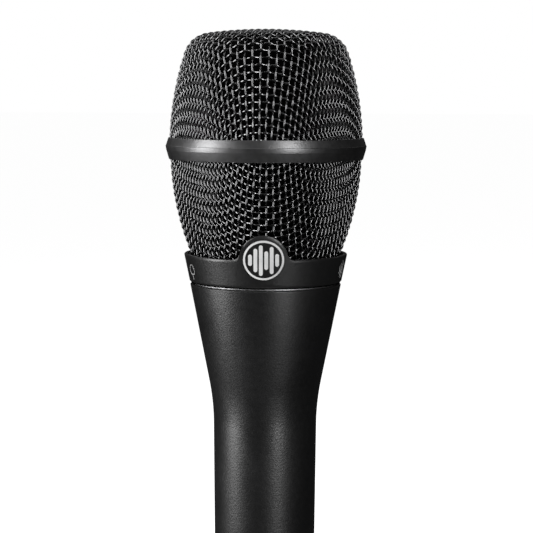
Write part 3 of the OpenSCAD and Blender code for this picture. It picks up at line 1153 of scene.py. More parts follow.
    @staticmethod
    def cut(line: np.ndarray, low: float, high: float) -> list[np.ndarray]:
        """Keeps the lengths of a line that lie between two heights.

        Args:
            line: Points of the line.
            low: Lowest height.
            high: Highest height.

        Returns:
            The lengths that are left.
        """
        inside = (line[:, 2] >= low) & (line[:, 2] <= high)
        edges = np.flatnonzero(np.diff(inside.astype(int))) + 1
        spans = np.split(np.arange(len(line)), edges)
        return [line[span] for span in spans if inside[span[0]] and len(span) > 2]


@dataclass
class GrilleShape:
    """Outlines of the grille's two baskets, as the frame's solids have them.

    Attributes:
        belly: Radius beside the band.
        dome_belly: Height of the dome's widest place.
        dome_curve: Radius of curve of the dome's side at its widest place.
        side_top: Height where the dome's side turns in.
        corner: Radius of the turn.
        crown: Radius of the nearly flat top.
        skirt_belly: Height of the skirt's widest place.
        skirt_curve: Radius of curve of the skirt's side at its widest place.
        skirt_bottom: Height of the skirt's lower edge.
        skirt_corner: Radius of the turn to the skirt's cut-out bottom.
        band: Height of the middle of the band.
        dome_depth: Depth of the middle of the upper wire cloth.
        skirt_depth: Depth of the middle of the lower wire cloth.
    """

    belly: float = 23.8 * MM
    dome_belly: float = 162.0 * MM
    dome_curve: float = 70.0 * MM
    side_top: float = 184.6 * MM
    corner: float = 6.8 * MM
    crown: float = 110.0 * MM
    skirt_belly: float = 160.0 * MM
    skirt_curve: float = 63.0 * MM
    skirt_bottom: float = 133.7 * MM
    skirt_corner: float = 6.0 * MM
    band: float = 161.0 * MM
    dome_depth: float = 0.25 * MM
    skirt_depth: float = 0.475 * MM

    def side(self, z: float, depth: float, belly_z: float, curve: float) -> tuple[float, float, float]:
        """Point on a basket's side.

        Args:
            z: Height on the outer surface.
            depth: Depth below it.
            belly_z: Height of the widest place.
            curve: Radius of curve there.

        Returns:
            Radius, height, and the angle of the outward normal above level, in radians.
        """
        lean = math.atan((z - belly_z) / curve)
        radius = self.belly - (z - belly_z) ** 2 / (2 * curve)
        return radius - depth * math.cos(lean), z - depth * math.sin(lean), lean

    def dome(self, depth: float, low: float, steps: int = 120) -> list[Point]:
        """Outline of the dome from the middle of its top down to a height.

        Args:
            depth: Depth below the wire's outer surface.
            low: Height on the outer surface where it ends.
            steps: Steps along the side; the top and the turn have a third as many.

        Returns:
            Radius and height of each point.
        """
        x, z, lean = self.side(self.side_top, self.corner, self.dome_belly, self.dome_curve)
        reach = self.crown - self.corner
        edge = math.degrees(math.acos(x / reach))
        centre = (0.0, z - reach * math.sin(math.radians(edge)))
        line = arc(centre, self.crown - depth, 90.0, edge, steps // 3)
        line += arc((x, z), self.corner - depth, edge, math.degrees(lean), steps // 3)[1:]
        for k in range(1, steps + 1):
            height = self.side_top + (low - self.side_top) * k / steps
            line.append(self.side(height, depth, self.dome_belly, self.dome_curve)[:2])
        return line

    def skirt(self, depth: float, low: float, high: float, steps: int = 60) -> list[Point]:
        """Outline of the skirt's side from its lower edge up.

        Args:
            depth: Depth below the wire's outer surface.
            low: Height where it starts.
            high: Height where it ends.
            steps: Steps along it.

        Returns:
            Radius and height of each point.
        """
        heights = [low + (high - low) * k / steps for k in range(steps + 1)]
        return [self.side(z, depth, self.skirt_belly, self.skirt_curve)[:2] for z in heights]

    def skirt_form(self, depth: float, high: float, steps: int = 120) -> list[Point]:
        """Outline that the skirt's cloth is pressed over, with the bottom that is cut out later.

        Args:
            depth: Depth below the wire's outer surface.
            high: Height where it ends.
            steps: Steps along the side; the bottom and the turn have a third as many.

        Returns:
            Radius and height of each point, from the axis outwards.
        """
        x, z, lean = self.side(self.skirt_bottom, self.skirt_corner, self.skirt_belly, self.skirt_curve)
        floor = z - self.skirt_corner + depth
        line = [(x * k / (steps // 3), floor) for k in range(steps // 3)]
        line += arc((x, z), self.skirt_corner - depth, -90.0, math.degrees(lean), steps // 3)
        return line + self.skirt(depth, self.skirt_bottom, high, steps)[1:]


@dataclass
class Grille:
    """Wire baskets, band and threaded foot.

    Attributes:
        shape: Outlines of the baskets.
        dome_cloth: Cloth of the upper basket.
        skirt_cloth: Cloth of the lower basket.
        dome_turn: Turn of the upper cloth, in degrees.
        skirt_turn: Turn of the lower cloth, in degrees.
        spare: How far the cloth reaches past the band's middle before it is trimmed.
    """

    shape: GrilleShape = field(default_factory=GrilleShape)
    dome_cloth: WireCloth = WireCloth()
    skirt_cloth: WireCloth = WireCloth(warp_pitch=1.7 * MM, weft_pitch=1.54 * MM)
    dome_turn: float = -2.3
    skirt_turn: float = 1.8
    spare: float = 5.0 * MM

    def build(self, wires: WireGrower, helix: HelixGrower) -> None:
        """Makes and joins every piece of the grille.

        Args:
            wires: Sweeps the wires.
            helix: Winds the thread.
        """
        shape = self.shape
        dome_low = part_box("grille_dome")[0].z
        form = shape.dome(shape.dome_depth, dome_low - self.spare)
        dome = FormedCloth(self.dome_cloth, form, 1.0, self.dome_turn)
        skirt_low, skirt_high = (corner.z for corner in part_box("grille_skirt"))
        form = shape.skirt_form(shape.skirt_depth, skirt_high + self.spare)
        skirt = FormedCloth(self.skirt_cloth, form, -1.0, self.skirt_turn)
        self.weave(wires, dome, "grille_dome", dome_low, 1.0)
        self.weave(wires, skirt, "grille_skirt", skirt_low, skirt_high)
        self.band()
        self.foot(helix)
        dress("band_inner_ring", RING_STEEL)

    @staticmethod
    def weave(wires: WireGrower, formed: FormedCloth, node: str, low: float, high: float) -> None:
        """Makes the two families of wires of one basket.

        Args:
            wires: Sweeps the wires.
            formed: The formed cloth.
            node: CAD node that they stand for.
            low: Height below which they are trimmed.
            high: Height above which they are trimmed.
        """
        for family, across in (("warp", False), ("weft", True)):
            lines = formed.wires(across, low, high)
            mesh = wires.along(lines, formed.cloth.wire / 2, WIRE)
            put(new_piece(f"{node}_{family}", mesh, None), "grille", WIRE.slot, node)

    def band(self) -> None:
        """Makes the band round the middle."""
        low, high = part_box("grille_band")
        inner, outer = self.shape.belly + 0.05 * MM, high.x
        middle = self.shape.band
        corners = [
            (inner, low.z),
            (outer - 0.85 * MM, low.z),
            (outer - 0.28 * MM, middle - 0.65 * MM),
            (outer - 0.19 * MM, middle - 0.4 * MM),
            (outer, middle + 0.7 * MM),
            (outer - 0.1 * MM, middle + 0.8 * MM),
            (outer - 0.7 * MM, high.z),
            (inner, high.z),
        ]
        mesh = turned(eased(corners, 0.12 * MM), 256)
        put(new_piece("grille_band_ring", mesh, BAND_COAT), "grille", BAND_COAT.slot, "grille_band")

    def foot(self, helix: HelixGrower) -> None:
        """Makes the threaded foot.

        Args:
            helix: Winds the thread.
        """
        low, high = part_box("grille_base_ring")
        bore, crest = 16.3 * MM, 18.02 * MM
        root = crest - 0.3 * MM
        corners = [
            (bore, low.z),
            (root - 0.2 * MM, low.z),
            (root, low.z + 0.3 * MM),
            (root, high.z - 0.9 * MM),
            (high.x, high.z - 0.3 * MM),
            (high.x, high.z),
            (bore, high.z),
        ]
        ring = new_piece("grille_foot", turned(eased(corners, 0.08 * MM)), BLACK_STEEL)
        put(ring, "grille", BLACK_STEEL.slot, "grille_base_ring")
        turns = (high.z - low.z - 1.6 * MM) / THREAD_RISE
        ridge = helix.wind(
            BLACK_STEEL,
            {
                "Turns": turns,
                "Radius": root,
                "Rise": turns * THREAD_RISE,
                "Bottom": low.z + 0.5 * MM,
                "Ridge": 0.3 * MM,
            },
        )
        put(new_piece("grille_foot_thread", ridge, None), "grille", BLACK_STEEL.slot)


@dataclass
class Liners:
    """Foam behind the wire of both baskets.

    Attributes:
        shape: Outlines of the baskets.
        gap: Depth of the foam's outer face below the wire's outer face.
        dome_thickness: Thickness of the upper foam.
        skirt_thickness: Thickness of the lower foam.
    """

    shape: GrilleShape
    gap: float = 1.9 * MM
    dome_thickness: float = 3.2 * MM
    skirt_thickness: float = 1.5 * MM

    def build(self, foam: FoamGrower) -> None:
        """Makes both liners.

        Args:
            foam: Roughens their skins.
        """
        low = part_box("dome_foam")[0].z
        outer = self.shape.dome(self.gap, low, 90)
        inner = self.shape.dome(self.gap + self.dome_thickness, low, 90)
        self.liner(foam, "dome_foam_liner", outer + inner[::-1], "dome_liner", "dome_foam")
        low, high = (corner.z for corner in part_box("skirt_foam"))
        outer = self.shape.skirt(self.gap, low, high)
        inner = self.shape.skirt(self.gap + self.skirt_thickness, low, high)
        self.liner(foam, "skirt_foam_liner", outer + inner[::-1], "skirt_liner", "skirt_foam")

    @staticmethod
    def liner(foam: FoamGrower, name: str, outline: Sequence[Point], body: str, node: str) -> None:
        """Makes one liner.

        Args:
            foam: Roughens its skin.
            name: The piece's name.
            outline: Its closed outline.
            body: Body that it rides on.
            node: CAD node that it stands for.
        """
        mesh = foam.grow(turned(outline, 320), FOAM, {})
        piece = put(new_piece(name, mesh, None), body, FOAM.slot, node)


# ---------------------------------------------------------------- handle and collar


@dataclass
class Handle:
    """Tapered handle with a flare.

    Attributes:
        end_r: Outer radius at the end.
        neck_r: Outer radius at the neck.
        neck_z: Height of the neck.
        shoulder_r: Outer radius at the top.
        blend: Half the height of the curve between grip and flare.
        screw_z: Height of the screw that holds the socket.
        bores: Inner outline from the top down.
    """

    end_r: float = 12.1 * MM
    neck_r: float = 13.0 * MM
    neck_z: float = 94.7 * MM
    shoulder_r: float = 18.95 * MM
    blend: float = 5.5 * MM
    screw_z: float = 17.5 * MM
    bores: tuple[Point, ...] = (
        (16.4 * MM, 119.5 * MM),
        (12.35 * MM, 104.0 * MM),
        (10.75 * MM, 94.0 * MM),
        (10.35 * MM, 30.0 * MM),
        (8.6 * MM, 26.4 * MM),
        (8.6 * MM, 23.4 * MM),
        (9.55 * MM, 23.4 * MM),
    )

    def neck(self, top: float, steps: int = 36) -> list[Point]:
        """Points of the curve between grip and flare.

        Args:
            top: Height of the handle.
            steps: Steps along the curve.

        Returns:
            Radius and height of each point, going up.
        """
        flare = (self.shoulder_r - self.neck_r) / (top - self.neck_z - 2.3 * MM)
        grip = (self.neck_r - self.end_r) / self.neck_z
        meet = (top * flare - self.shoulder_r + self.end_r) / (flare - grip)
        low = Vector((self.end_r + (meet - self.blend) * grip, meet - self.blend))
        mid = Vector((self.end_r + meet * grip, meet))
        high = Vector((self.shoulder_r - (top - meet - self.blend) * flare, meet + self.blend))
        points = []
        for k in range(steps + 1):
            t = k / steps
            p = low * (1 - t) ** 2 + mid * (2 * t * (1 - t)) + high * t**2
            points.append((p.x, p.y))
        return points

    def build(self) -> None:
        """Makes the handle and drills it."""
        low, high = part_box("handle_tube")
        chamfer, edge = 0.5 * MM, 0.3 * MM
        outer = [(self.end_r - chamfer, low.z), (self.end_r, low.z + chamfer)]
        outer += self.neck(high.z)
        outer += [
            (self.shoulder_r - 0.0573 * MM, high.z - edge),
            (self.shoulder_r - edge, high.z),
        ]
        inner = [(self.bores[0][0], high.z), *self.bores, (self.bores[-1][0], low.z)]
        mesh = turned(eased(outer + inner, 0.1 * MM), 224)
        piece = new_piece("handle_body", mesh, HANDLE_COAT)
        drill(piece, Vector((0, 10 * MM, self.screw_z)), Vector((0, 1, 0)), 1.6 * MM, 8 * MM)
        put(piece, "handle", HANDLE_COAT.slot, "handle_tube")


def drill(piece: bpy.types.Object, start: Vector, way: Vector, radius: float, length: float) -> None:
    """Cuts a round hole.

    Args:
        piece: The object to cut.
        start: Where the hole starts, on its axis.
        way: Its direction.
        radius: Its radius.
        length: Its length.
    """
    turn = way.to_track_quat("Z", "Y")
    rings = [turn @ Vector((radius * math.cos(a), radius * math.sin(a), z)) + start
             for z in (0.0, length) for a in np.linspace(0, 2 * math.pi, 48, endpoint=False)]
    walls = [(k, (k + 1) % 48, (k + 1) % 48 + 48, k + 48) for k in range(48)]
    cutter = new_piece("cutter", closed_mesh(rings, walls + [tuple(range(48)), tuple(range(48, 96))]), None)
    cut_with(piece, cutter)


def cut_with(piece: bpy.types.Object, cutter: bpy.types.Object) -> None:
    """Takes one solid from another and removes the cutter.

    Args:
        piece: The object to cut.
        cutter: The solid to take away.
    """
    modifier = piece.modifiers.new("cut", "BOOLEAN")
    modifier.operation = "DIFFERENCE"
    modifier.solver = "EXACT"
    modifier.object = cutter
    graph = bpy.context.evaluated_depsgraph_get()
    mesh = bpy.data.meshes.new_from_object(piece.evaluated_get(graph), depsgraph=graph)
    piece.modifiers.remove(modifier)
    material = piece.data.materials[0]
    piece.data = mesh
    mesh.materials.clear()
    mesh.materials.append(material)
    shade(mesh)
    bpy.data.objects.remove(cutter)


@dataclass
class Collar:
    """Collar ring with the arch that carries the badge.

    Attributes:
        bottom_r: Outer radius at the bottom.
        flare: Growth of the radius with height.
        height: Height without the arch.
        lip: Thickness of the wall at the top.
        arch_r: Radius of the arch.
        arch_fillet: Radius at the foot of the arch.
        arch_rise: Height of the arch's centre above the badge's.
        edge_drop: Fall of the round top edge at the foot of the arch.
        back_slope: Slope of the arch's back.
        thread_r: Radius of the thread.
        floor_z: Height of the floor that the screws sit in.
        floor_low: Height of the floor's underside.
        bore_r: Radius of the hole through the floor.
        spigot_r: Radius of the seat over the handle's ring.
        screw_circle: Radius of the circle that the screws stand on.
        screw_head_r: Radius of the hole for a screw's head.
        screw_r: Radius of the hole for a screw's shank.
        groove: Height of the groove above the handle.
        groove_depth: Depth of that groove.
        thread_top: Height of the top of the thread.
        recess: Depth of the badge's recess.
        badge_r: Radius of the badge.
    """

    bottom_r: float = 18.97 * MM
    flare: float = 0.208
    height: float = 7.2 * MM
    lip: float = 1.0 * MM
    arch_r: float = 5.9 * MM
    arch_fillet: float = 2.2 * MM
    arch_rise: float = 0.35 * MM
    edge_drop: float = 0.3 * MM
    back_slope: float = 0.265
    thread_r: float = 18.1 * MM
    floor_z: float = 130.2 * MM
    floor_low: float = 128.72 * MM
    bore_r: float = 15.4 * MM
    spigot_r: float = 17.98 * MM
    screw_circle: float = 16.6 * MM
    screw_head_r: float = 1.4 * MM
    screw_r: float = 0.85 * MM
    groove: float = 0.42 * MM
    groove_depth: float = 0.45 * MM
    thread_top: float = 133.4 * MM
    recess: float = 0.3 * MM
    badge_r: float = 5.0 * MM

    def __post_init__(self) -> None:
        """Takes the collar's place from the frame."""
        self.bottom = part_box("collar")[0].z
        self.top = self.bottom + self.height
        self.tilt = math.atan(self.flare)

    def outer(self, z: float) -> float:
        """Radius of the outer cone at a height."""
        return self.bottom_r + (z - self.bottom) * self.flare

    def back(self, z: float) -> float:
        """Radius of the arch's back at a height."""
        return self.outer(self.top) - self.lip + 0.1 * MM + (z - self.top) * self.back_slope

    def on_cone(self, x: float, y: float, proud: float) -> Vector:
        """Point of the collar's front from the badge's flat plane.

        Args:
            x: Distance to the right of the badge's middle.
            y: Distance above it, along the collar's slope.
            proud: Height above the collar's surface.

        Returns:
            The point in the row frame.
        """
        z = self.top + y * math.cos(self.tilt)
        for _ in range(4):
            radius = self.outer(z)
            depth = radius - math.sqrt(radius**2 - x**2)
            z = self.top + (y + depth * math.sin(self.tilt)) * math.cos(self.tilt)
        angle = math.asin(x / self.outer(z))
        r = self.outer(z) + proud * math.cos(self.tilt)
        return Vector((r * math.sin(angle), -r * math.cos(angle), z - proud * math.sin(self.tilt)))

    def crest(self) -> list[tuple[float, float]]:
        """Angle and height of the top edge, from one side of the arch round the back to the other.

        Returns:
            Angle from the front in radians, and height, in order.
        """
        lift = self.arch_fillet - self.edge_drop
        rise = lift - self.arch_rise
        foot = math.sqrt((self.arch_r + self.arch_fillet) ** 2 - rise**2)
        lean = math.degrees(math.asin(rise / (self.arch_r + self.arch_fillet)))
        right = arc((foot, lift), self.arch_fillet, 270.0, 180.0 + lean, 10)
        head = arc((0.0, self.arch_rise), self.arch_r, lean, 180.0 - lean, 56)[1:]
        left = arc((-foot, lift), self.arch_fillet, 360.0 - lean, 270.0, 10)[1:]
        edge = []
        for x, y in (right + head + left)[::-1]:
            p = self.on_cone(x, y, 0.0)
            edge.append((math.atan2(p.x, -p.y), max(p.z, self.top)))
        edge[0], edge[-1] = (edge[0][0], self.top), (edge[-1][0], self.top)
        gap = 2 * math.pi - (edge[-1][0] - edge[0][0])
        steps = 150
        edge += [(edge[-1][0] + gap * k / steps, self.top) for k in range(1, steps)]
        return edge

    def section(self, top: float) -> list[Point]:
        """Closed section of the collar where its edge has some height.

        Args:
            top: Height of the edge.

        Returns:
            Radius and height of each corner, the same number for every height.
        """
        above = top - self.top
        outer_top, ease = self.outer(top), 0.32 * MM
        start = self.bottom + self.groove
        rise = [start + (top - ease - start) * k / 14 for k in range(15)]
        root = self.outer(self.bottom) - self.groove_depth
        points = [(root, self.bottom), (root, start - 0.08 * MM)]
        points += [(self.outer(start) - 0.06 * MM, start - 0.06 * MM)]
        points += [(self.outer(z), z) for z in rise]
        points += [
            (outer_top - 0.11 * MM, top - 0.15 * MM),
            (outer_top - 0.22 * MM, top - 0.05 * MM),
            (outer_top - 0.34 * MM, top),
        ]
        inner_lip = self.outer(self.top) - self.lip
        back_top = self.back(top) if above > 1e-6 else inner_lip
        points += [(back_top + 0.06 * MM, top), (back_top, top - 0.06 * MM)]
        share = min(1.0, above / (0.3 * MM))
        points += [(inner_lip + (self.back(self.top) - inner_lip) * share, self.top - 0.07 * MM)]
        points += [
            (self.thread_r + 0.9 * MM, self.thread_top + 0.3 * MM),
            (self.thread_r + 0.3 * MM, self.thread_top - 0.1 * MM),
            (self.thread_r + 0.3 * MM, self.floor_z),
            (self.bore_r, self.floor_z),
            (self.bore_r, self.floor_low),
            (self.spigot_r, self.floor_low),
            (self.spigot_r, self.bottom),
        ]
        return points

    def build(self, helix: HelixGrower) -> None:
        """Makes the collar, cuts its recess and screw holes, and winds its thread.

        Args:
            helix: Winds the thread.
        """
        crest = self.crest()
        columns = [
            [(r * math.sin(angle), -r * math.cos(angle), z) for r, z in self.section(top)]
            for angle, top in crest
        ]
        count = len(columns[0])
        verts = [p for column in columns for p in column]
        faces = []
        for k in range(len(columns)):
            here, there = k * count, (k + 1) % len(columns) * count
            for n in range(count):
                m = (n + 1) % count
                faces.append((here + n, there + n, there + m, here + m))
        piece = new_piece("collar_ring", closed_mesh(verts, faces), COLLAR_COAT)
        cut_with(piece, new_piece("cutter", self.recess_cutter(), None))
        up = Vector((0, 0, 1))
        for angle in map(math.radians, (30, 150, 270)):
            spot = Vector((math.cos(angle), math.sin(angle), 0)) * self.screw_circle
            drill(piece, spot + up * (self.floor_z - 0.8 * MM), up, self.screw_head_r, 2 * MM)
            drill(piece, spot + up * (self.floor_low - 0.72 * MM), up, self.screw_r, 3 * MM)
        put(piece, "handle", COLLAR_COAT.slot, "collar")
        turns = (self.thread_top - self.floor_z - 0.7 * MM) / THREAD_RISE
        sizes = {
            "Turns": turns,
            "Radius": self.thread_r + 0.3 * MM,
            "Rise": turns * THREAD_RISE,
            "Bottom": self.floor_z + 0.3 * MM,
            "Ridge": 0.28 * MM,
        }
        thread = new_piece("collar_thread", helix.wind(COLLAR_COAT, sizes), None)
        put(thread, "handle", COLLAR_COAT.slot)
        # A near-black ring paints shade into the seam groove.
        self.paint_seam_shade()
        dress("head_ring", CASTING)
        dress("collar_screws", BLACK_STEEL)

    def paint_seam_shade(self) -> None:
        """Makes a thin near-black ring in the groove above the handle: painted shade that darkens the seam.
        """
        inner = self.outer(self.bottom) - self.groove_depth + 0.01 * MM
        low, high = self.bottom + 0.01 * MM, self.bottom + self.groove - 0.09 * MM
        ring = turned([(inner, low), (inner + 0.2 * MM, low), (inner + 0.2 * MM, high), (inner, high)])
        put(new_piece("collar_seam_shade", ring, SEAM_SHADE), "handle", SEAM_SHADE.slot)

    def disc(
        self, radius: float, low: float, high: float, rings: int = 10, sides: int = 96
    ) -> bpy.types.Mesh:
        """A round plate that follows the collar's front.

        Args:
            radius: Its radius.
            low: Height of its back above the collar's surface.
            high: Height of its face.
            rings: Rings from the middle to the edge.
            sides: Steps round.

        Returns:
            The closed mesh.
        """
        return self.plate(
            [[(radius * k / rings * math.cos(a), radius * k / rings * math.sin(a))
              for a in np.linspace(0, 2 * math.pi, sides, endpoint=False)] for k in range(1, rings + 1)],
            low,
            high,
            (0.0, 0.0),
        )

    def plate(
        self, rings: Sequence[Sequence[Point]], low: float, high: float, middle: Point | None = None
    ) -> bpy.types.Mesh:
        """A thin plate on the collar's front, made of rings that lie inside each other.

        Args:
            rings: Rings of points in the badge's plane, from the inside out.
            low: Height of its back above the collar's surface.
            high: Height of its face.
            middle: Point that closes the innermost ring, or None if the plate is a ring itself.

        Returns:
            The closed mesh.
        """
        sides = len(rings[0])
        verts: list[Vector] = []
        faces: list[tuple[int, ...]] = []
        for level in (low, high):
            verts += [self.on_cone(x, y, level) for ring in rings for x, y in ring]
        layer = sides * len(rings)
        for base in (0, layer):
            for k in range(len(rings) - 1):
                for n in range(sides):
                    m = (n + 1) % sides
                    a, b = base + k * sides, base + (k + 1) * sides
                    faces.append((a + n, a + m, b + m, b + n))
        edges = [layer - sides] if middle else [layer - sides, 0]
        for start in edges:
            for n in range(sides):
                m = (n + 1) % sides
                faces.append((start + n, start + m, start + m + layer, start + n + layer))
        if middle:
            for base, level in ((0, low), (layer, high)):
                verts.append(self.on_cone(*middle, level))
                faces += [(base + n, base + (n + 1) % sides, len(verts) - 1) for n in range(sides)]
        return closed_mesh(verts, faces)

    def recess_cutter(self) -> bpy.types.Mesh:
        """Solid that the badge's recess is cut with."""
        return self.disc(self.badge_r + 0.15 * MM, -self.recess, 1.0 * MM)

    def marks(self, wires: WireGrower) -> None:
        """Prints two plain signs: a heart curve for the pickup pattern, and three arcs for sound.

        Args:
            wires: Sweeps the printed lines.
        """
        turns = np.linspace(0, 2 * math.pi, 49)
        size = 1.7 * MM
        reach = [0.62 * size * (1 + math.sin(a)) for a in turns]
        heart = [(r * math.cos(a), r * math.sin(a) - size * 0.6) for r, a in zip(reach, turns)]
        stem = [(0.0, -0.62 * size), (0.0, -1.5 * size)]
        arcs = [arc((-size, 0.0), size * k, -38.0, 38.0, 12) for k in (0.9, 1.5, 2.1)]
        for name, lines, turn in (("pattern_mark", [heart, stem], -65.5), ("sound_mark", arcs, 70.0)):
            placed = [np.array([self.on_side(x, y, turn) for x, y in line]) for line in lines]
            mesh = wires.along(placed, 0.1 * MM, MARK_INK, 6)
            put(new_piece(name, mesh, None), "handle", MARK_INK.slot)

    def on_side(self, x: float, y: float, turn: float) -> Vector:
        """Point just on the collar's surface, away from the front.

        Args:
            x: Distance round the collar from the turned middle.
            y: Height above the middle of the collar.
            turn: Angle from the front in degrees.

        Returns:
            The point in the row frame.
        """
        z = self.bottom + self.height * 0.52 + y
        angle = math.radians(turn) + x / self.outer(z)
        r = self.outer(z) - 0.05 * MM
        return Vector((r * math.sin(angle), -r * math.cos(angle), z))


@dataclass
class Badge:
    """Round badge with plain level bars.

    Attributes:
        collar: The collar that carries it.
        face_r: Radius of the bright face.
        field_r: Radius of the dark field inside the rim.
        bars: Height of each bar as a share of the field.
        bar_w: Width of a bar.
        bar_gap: Distance between bars.
    """

    collar: Collar
    face_r: float = 4.95 * MM
    field_r: float = 4.45 * MM
    bars: tuple[float, ...] = (0.32, 0.66, 0.86, 0.52, 0.76, 0.36)
    bar_w: float = 0.92 * MM
    bar_gap: float = 1.3 * MM

    def build(self) -> None:
        """Makes the plate, the dark field and the bars."""
        c = self.collar
        base = new_piece("badge_plate", c.disc(self.face_r, -c.recess + 0.02 * MM, -0.06 * MM), BADGE_SILVER)
        put(base, "handle", BADGE_SILVER.slot, "badge_medallion")
        field_plate = new_piece("badge_field", c.disc(self.field_r, -0.1 * MM, -0.045 * MM), BADGE_INLAY)
        put(field_plate, "handle", BADGE_INLAY.slot)
        for k, share in enumerate(self.bars):
            x = (k - (len(self.bars) - 1) / 2) * self.bar_gap
            mesh = c.plate(self.bar_rings(x, share * self.field_r), -0.08 * MM, 0.0, (x, 0.0))
            put(new_piece(f"badge_bar_{k + 1}", mesh, BADGE_SILVER), "handle", BADGE_SILVER.slot)

    def bar_rings(self, x: float, half: float) -> list[list[Point]]:
        """Outline of a bar with round ends, as rings that shrink to its middle.

        Args:
            x: Place of the bar.
            half: Half its length.

        Returns:
            The rings from the inside out.
        """
        r = self.bar_w / 2
        edge = arc((0.0, half - r), r, 0.0, 180.0, 10) + arc((0.0, r - half), r, 180.0, 360.0, 10)
        return [[(x + px * s, py * s) for px, py in edge] for s in (0.35, 0.7, 1.0)]


# ---------------------------------------------------------------- socket and capsule


@dataclass
class Socket:
    """Three-pin socket in the handle's end, and the leads behind it.

    Attributes:
        lead_r: Radius of a lead.
        steps: Points along a lead.
    """

    lead_r: float = 0.6 * MM
    steps: int = 60

    def build(self, wires: WireGrower) -> None:
        """Dresses the socket and makes the leads.

        Args:
            wires: Sweeps the leads.
        """
        for node, finish in (
            ("connector_shell", SHELL_NICKEL),
            ("connector_insulator", INSULATOR),
            ("contact_pin_1", GOLD),
            ("contact_pin_2", GOLD),
            ("contact_pin_3", GOLD),
            ("ground_washer", BRONZE),
            ("connector_screw", BLACK_STEEL),
        ):
            dress(node, finish)
        self.lead(wires, "signal_lead_hot", RED_LEAD, 148.0, -1.0, Vector((-2.4, 1.8, 0)) * MM)
        self.lead(wires, "signal_lead_cold", TAN_LEAD, 270.0, 1.0, Vector((2.6, -1.4, 0)) * MM)

    def lead(
        self, wires: WireGrower, node: str, finish: Finish, angle: float, side: float, bow: Vector
    ) -> None:
        """Makes one lead between its solder cup and its terminal.

        Args:
            wires: Sweeps it.
            node: CAD node that it stands for.
            finish: Its finish.
            angle: Angle of its contact.
            side: Side of its terminal, 1 or -1.
            bow: How far it bows out half-way.
        """
        low, high = (corner.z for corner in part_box(node))
        turn = math.radians(angle)
        start = Vector((4.4 * MM * math.cos(turn), 4.4 * MM * math.sin(turn), low))
        end = Vector((side * 3.2 * MM, 0, high))
        line = []
        for k in range(self.steps + 1):
            t = k / self.steps
            eased_t = t * t * (3 - 2 * t)
            p = start.lerp(end, eased_t) + bow * math.sin(math.pi * t) ** 2
            p.z = start.z + (end.z - start.z) * t
            line.append(np.array(p))
        mesh = wires.along([np.array(line)], self.lead_r, finish, 16)
        piece = new_piece(f"{node}_wire", mesh, None)
        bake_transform(piece)
        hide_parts(node)
        LOG.info("%s: %d faces between handle and capsule", piece.name, len(mesh.polygons))


@dataclass
class Capsule:
    """Sprung capsule with its motor.

    Attributes:
        coil_turns: Turns of the voice coil's outer layer.
    """

    coil_turns: int = 30

    def build(self, helix: HelixGrower) -> None:
        """Dresses the capsule and winds its coil.

        Args:
            helix: Winds the coil.
        """
        for node, finish in (
            ("capsule_housing", CAPSULE),
            ("capsule_front_cap", CAPSULE),
            ("front_screen", SCREEN),
            ("clamp_ring", CLAMP),
            ("diaphragm_surround", FILM),
            ("magnet_carrier", CARRIER),
            ("yoke_cup", YOKE),
            ("magnet", MAGNET),
            ("pole_piece", YOKE),
            ("port_felt", FELT),
            ("terminal_board", BOARD),
            ("solder_terminals", GOLD),
            ("diaphragm_dome", FILM),
            ("voice_coil", COPPER),
            ("capsule_cradle", CRADLE),
            ("shock_ring_lower", RUBBER),
            ("shock_ring_upper", RUBBER),
        ):
            dress(node, finish)
        low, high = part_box("voice_coil")
        rise = high.z - low.z - 0.3 * MM
        winding = helix.wind(
            COPPER,
            {
                "Turns": float(self.coil_turns),
                "Radius": high.x,
                "Rise": rise,
                "Bottom": low.z + 0.15 * MM,
                "Ridge": rise / self.coil_turns / 2,
                "Steps per turn": 64,
            },
        )
        put(new_piece("coil_winding", winding, None), "diaphragm", COPPER.slot)


# ---------------------------------------------------------------- stage


@dataclass
class SoftBox:
    """A soft light that stands round the microphone.

    Attributes:
        name: Its name.
        side: Angle from the camera's side, positive to the left, in degrees.
        distance: Distance from the axis.
        height: Height of its middle.
        size: Width and height.
        power: Power in watts.
    """

    name: str
    side: float
    distance: float
    height: float
    size: tuple[float, float]
    power: float

    def light(self, aim: Vector) -> None:
        """Makes the light.

        Args:
            aim: Point that it faces.
        """
        data = bpy.data.lights.new(self.name, "AREA")
        data.shape = "RECTANGLE"
        data.size, data.size_y = self.size
        data.energy = self.power
        lamp = bpy.data.objects.new(self.name, data)
        bpy.context.scene.collection.objects.link(lamp)
        turn = math.radians(self.side)
        place = Vector((-math.sin(turn), -math.cos(turn), 0)) * self.distance
        place.z = self.height
        lamp.location = place
        lamp.rotation_euler = (place - aim).to_track_quat("Z", "Y").to_euler()
        lamp.visible_camera = False


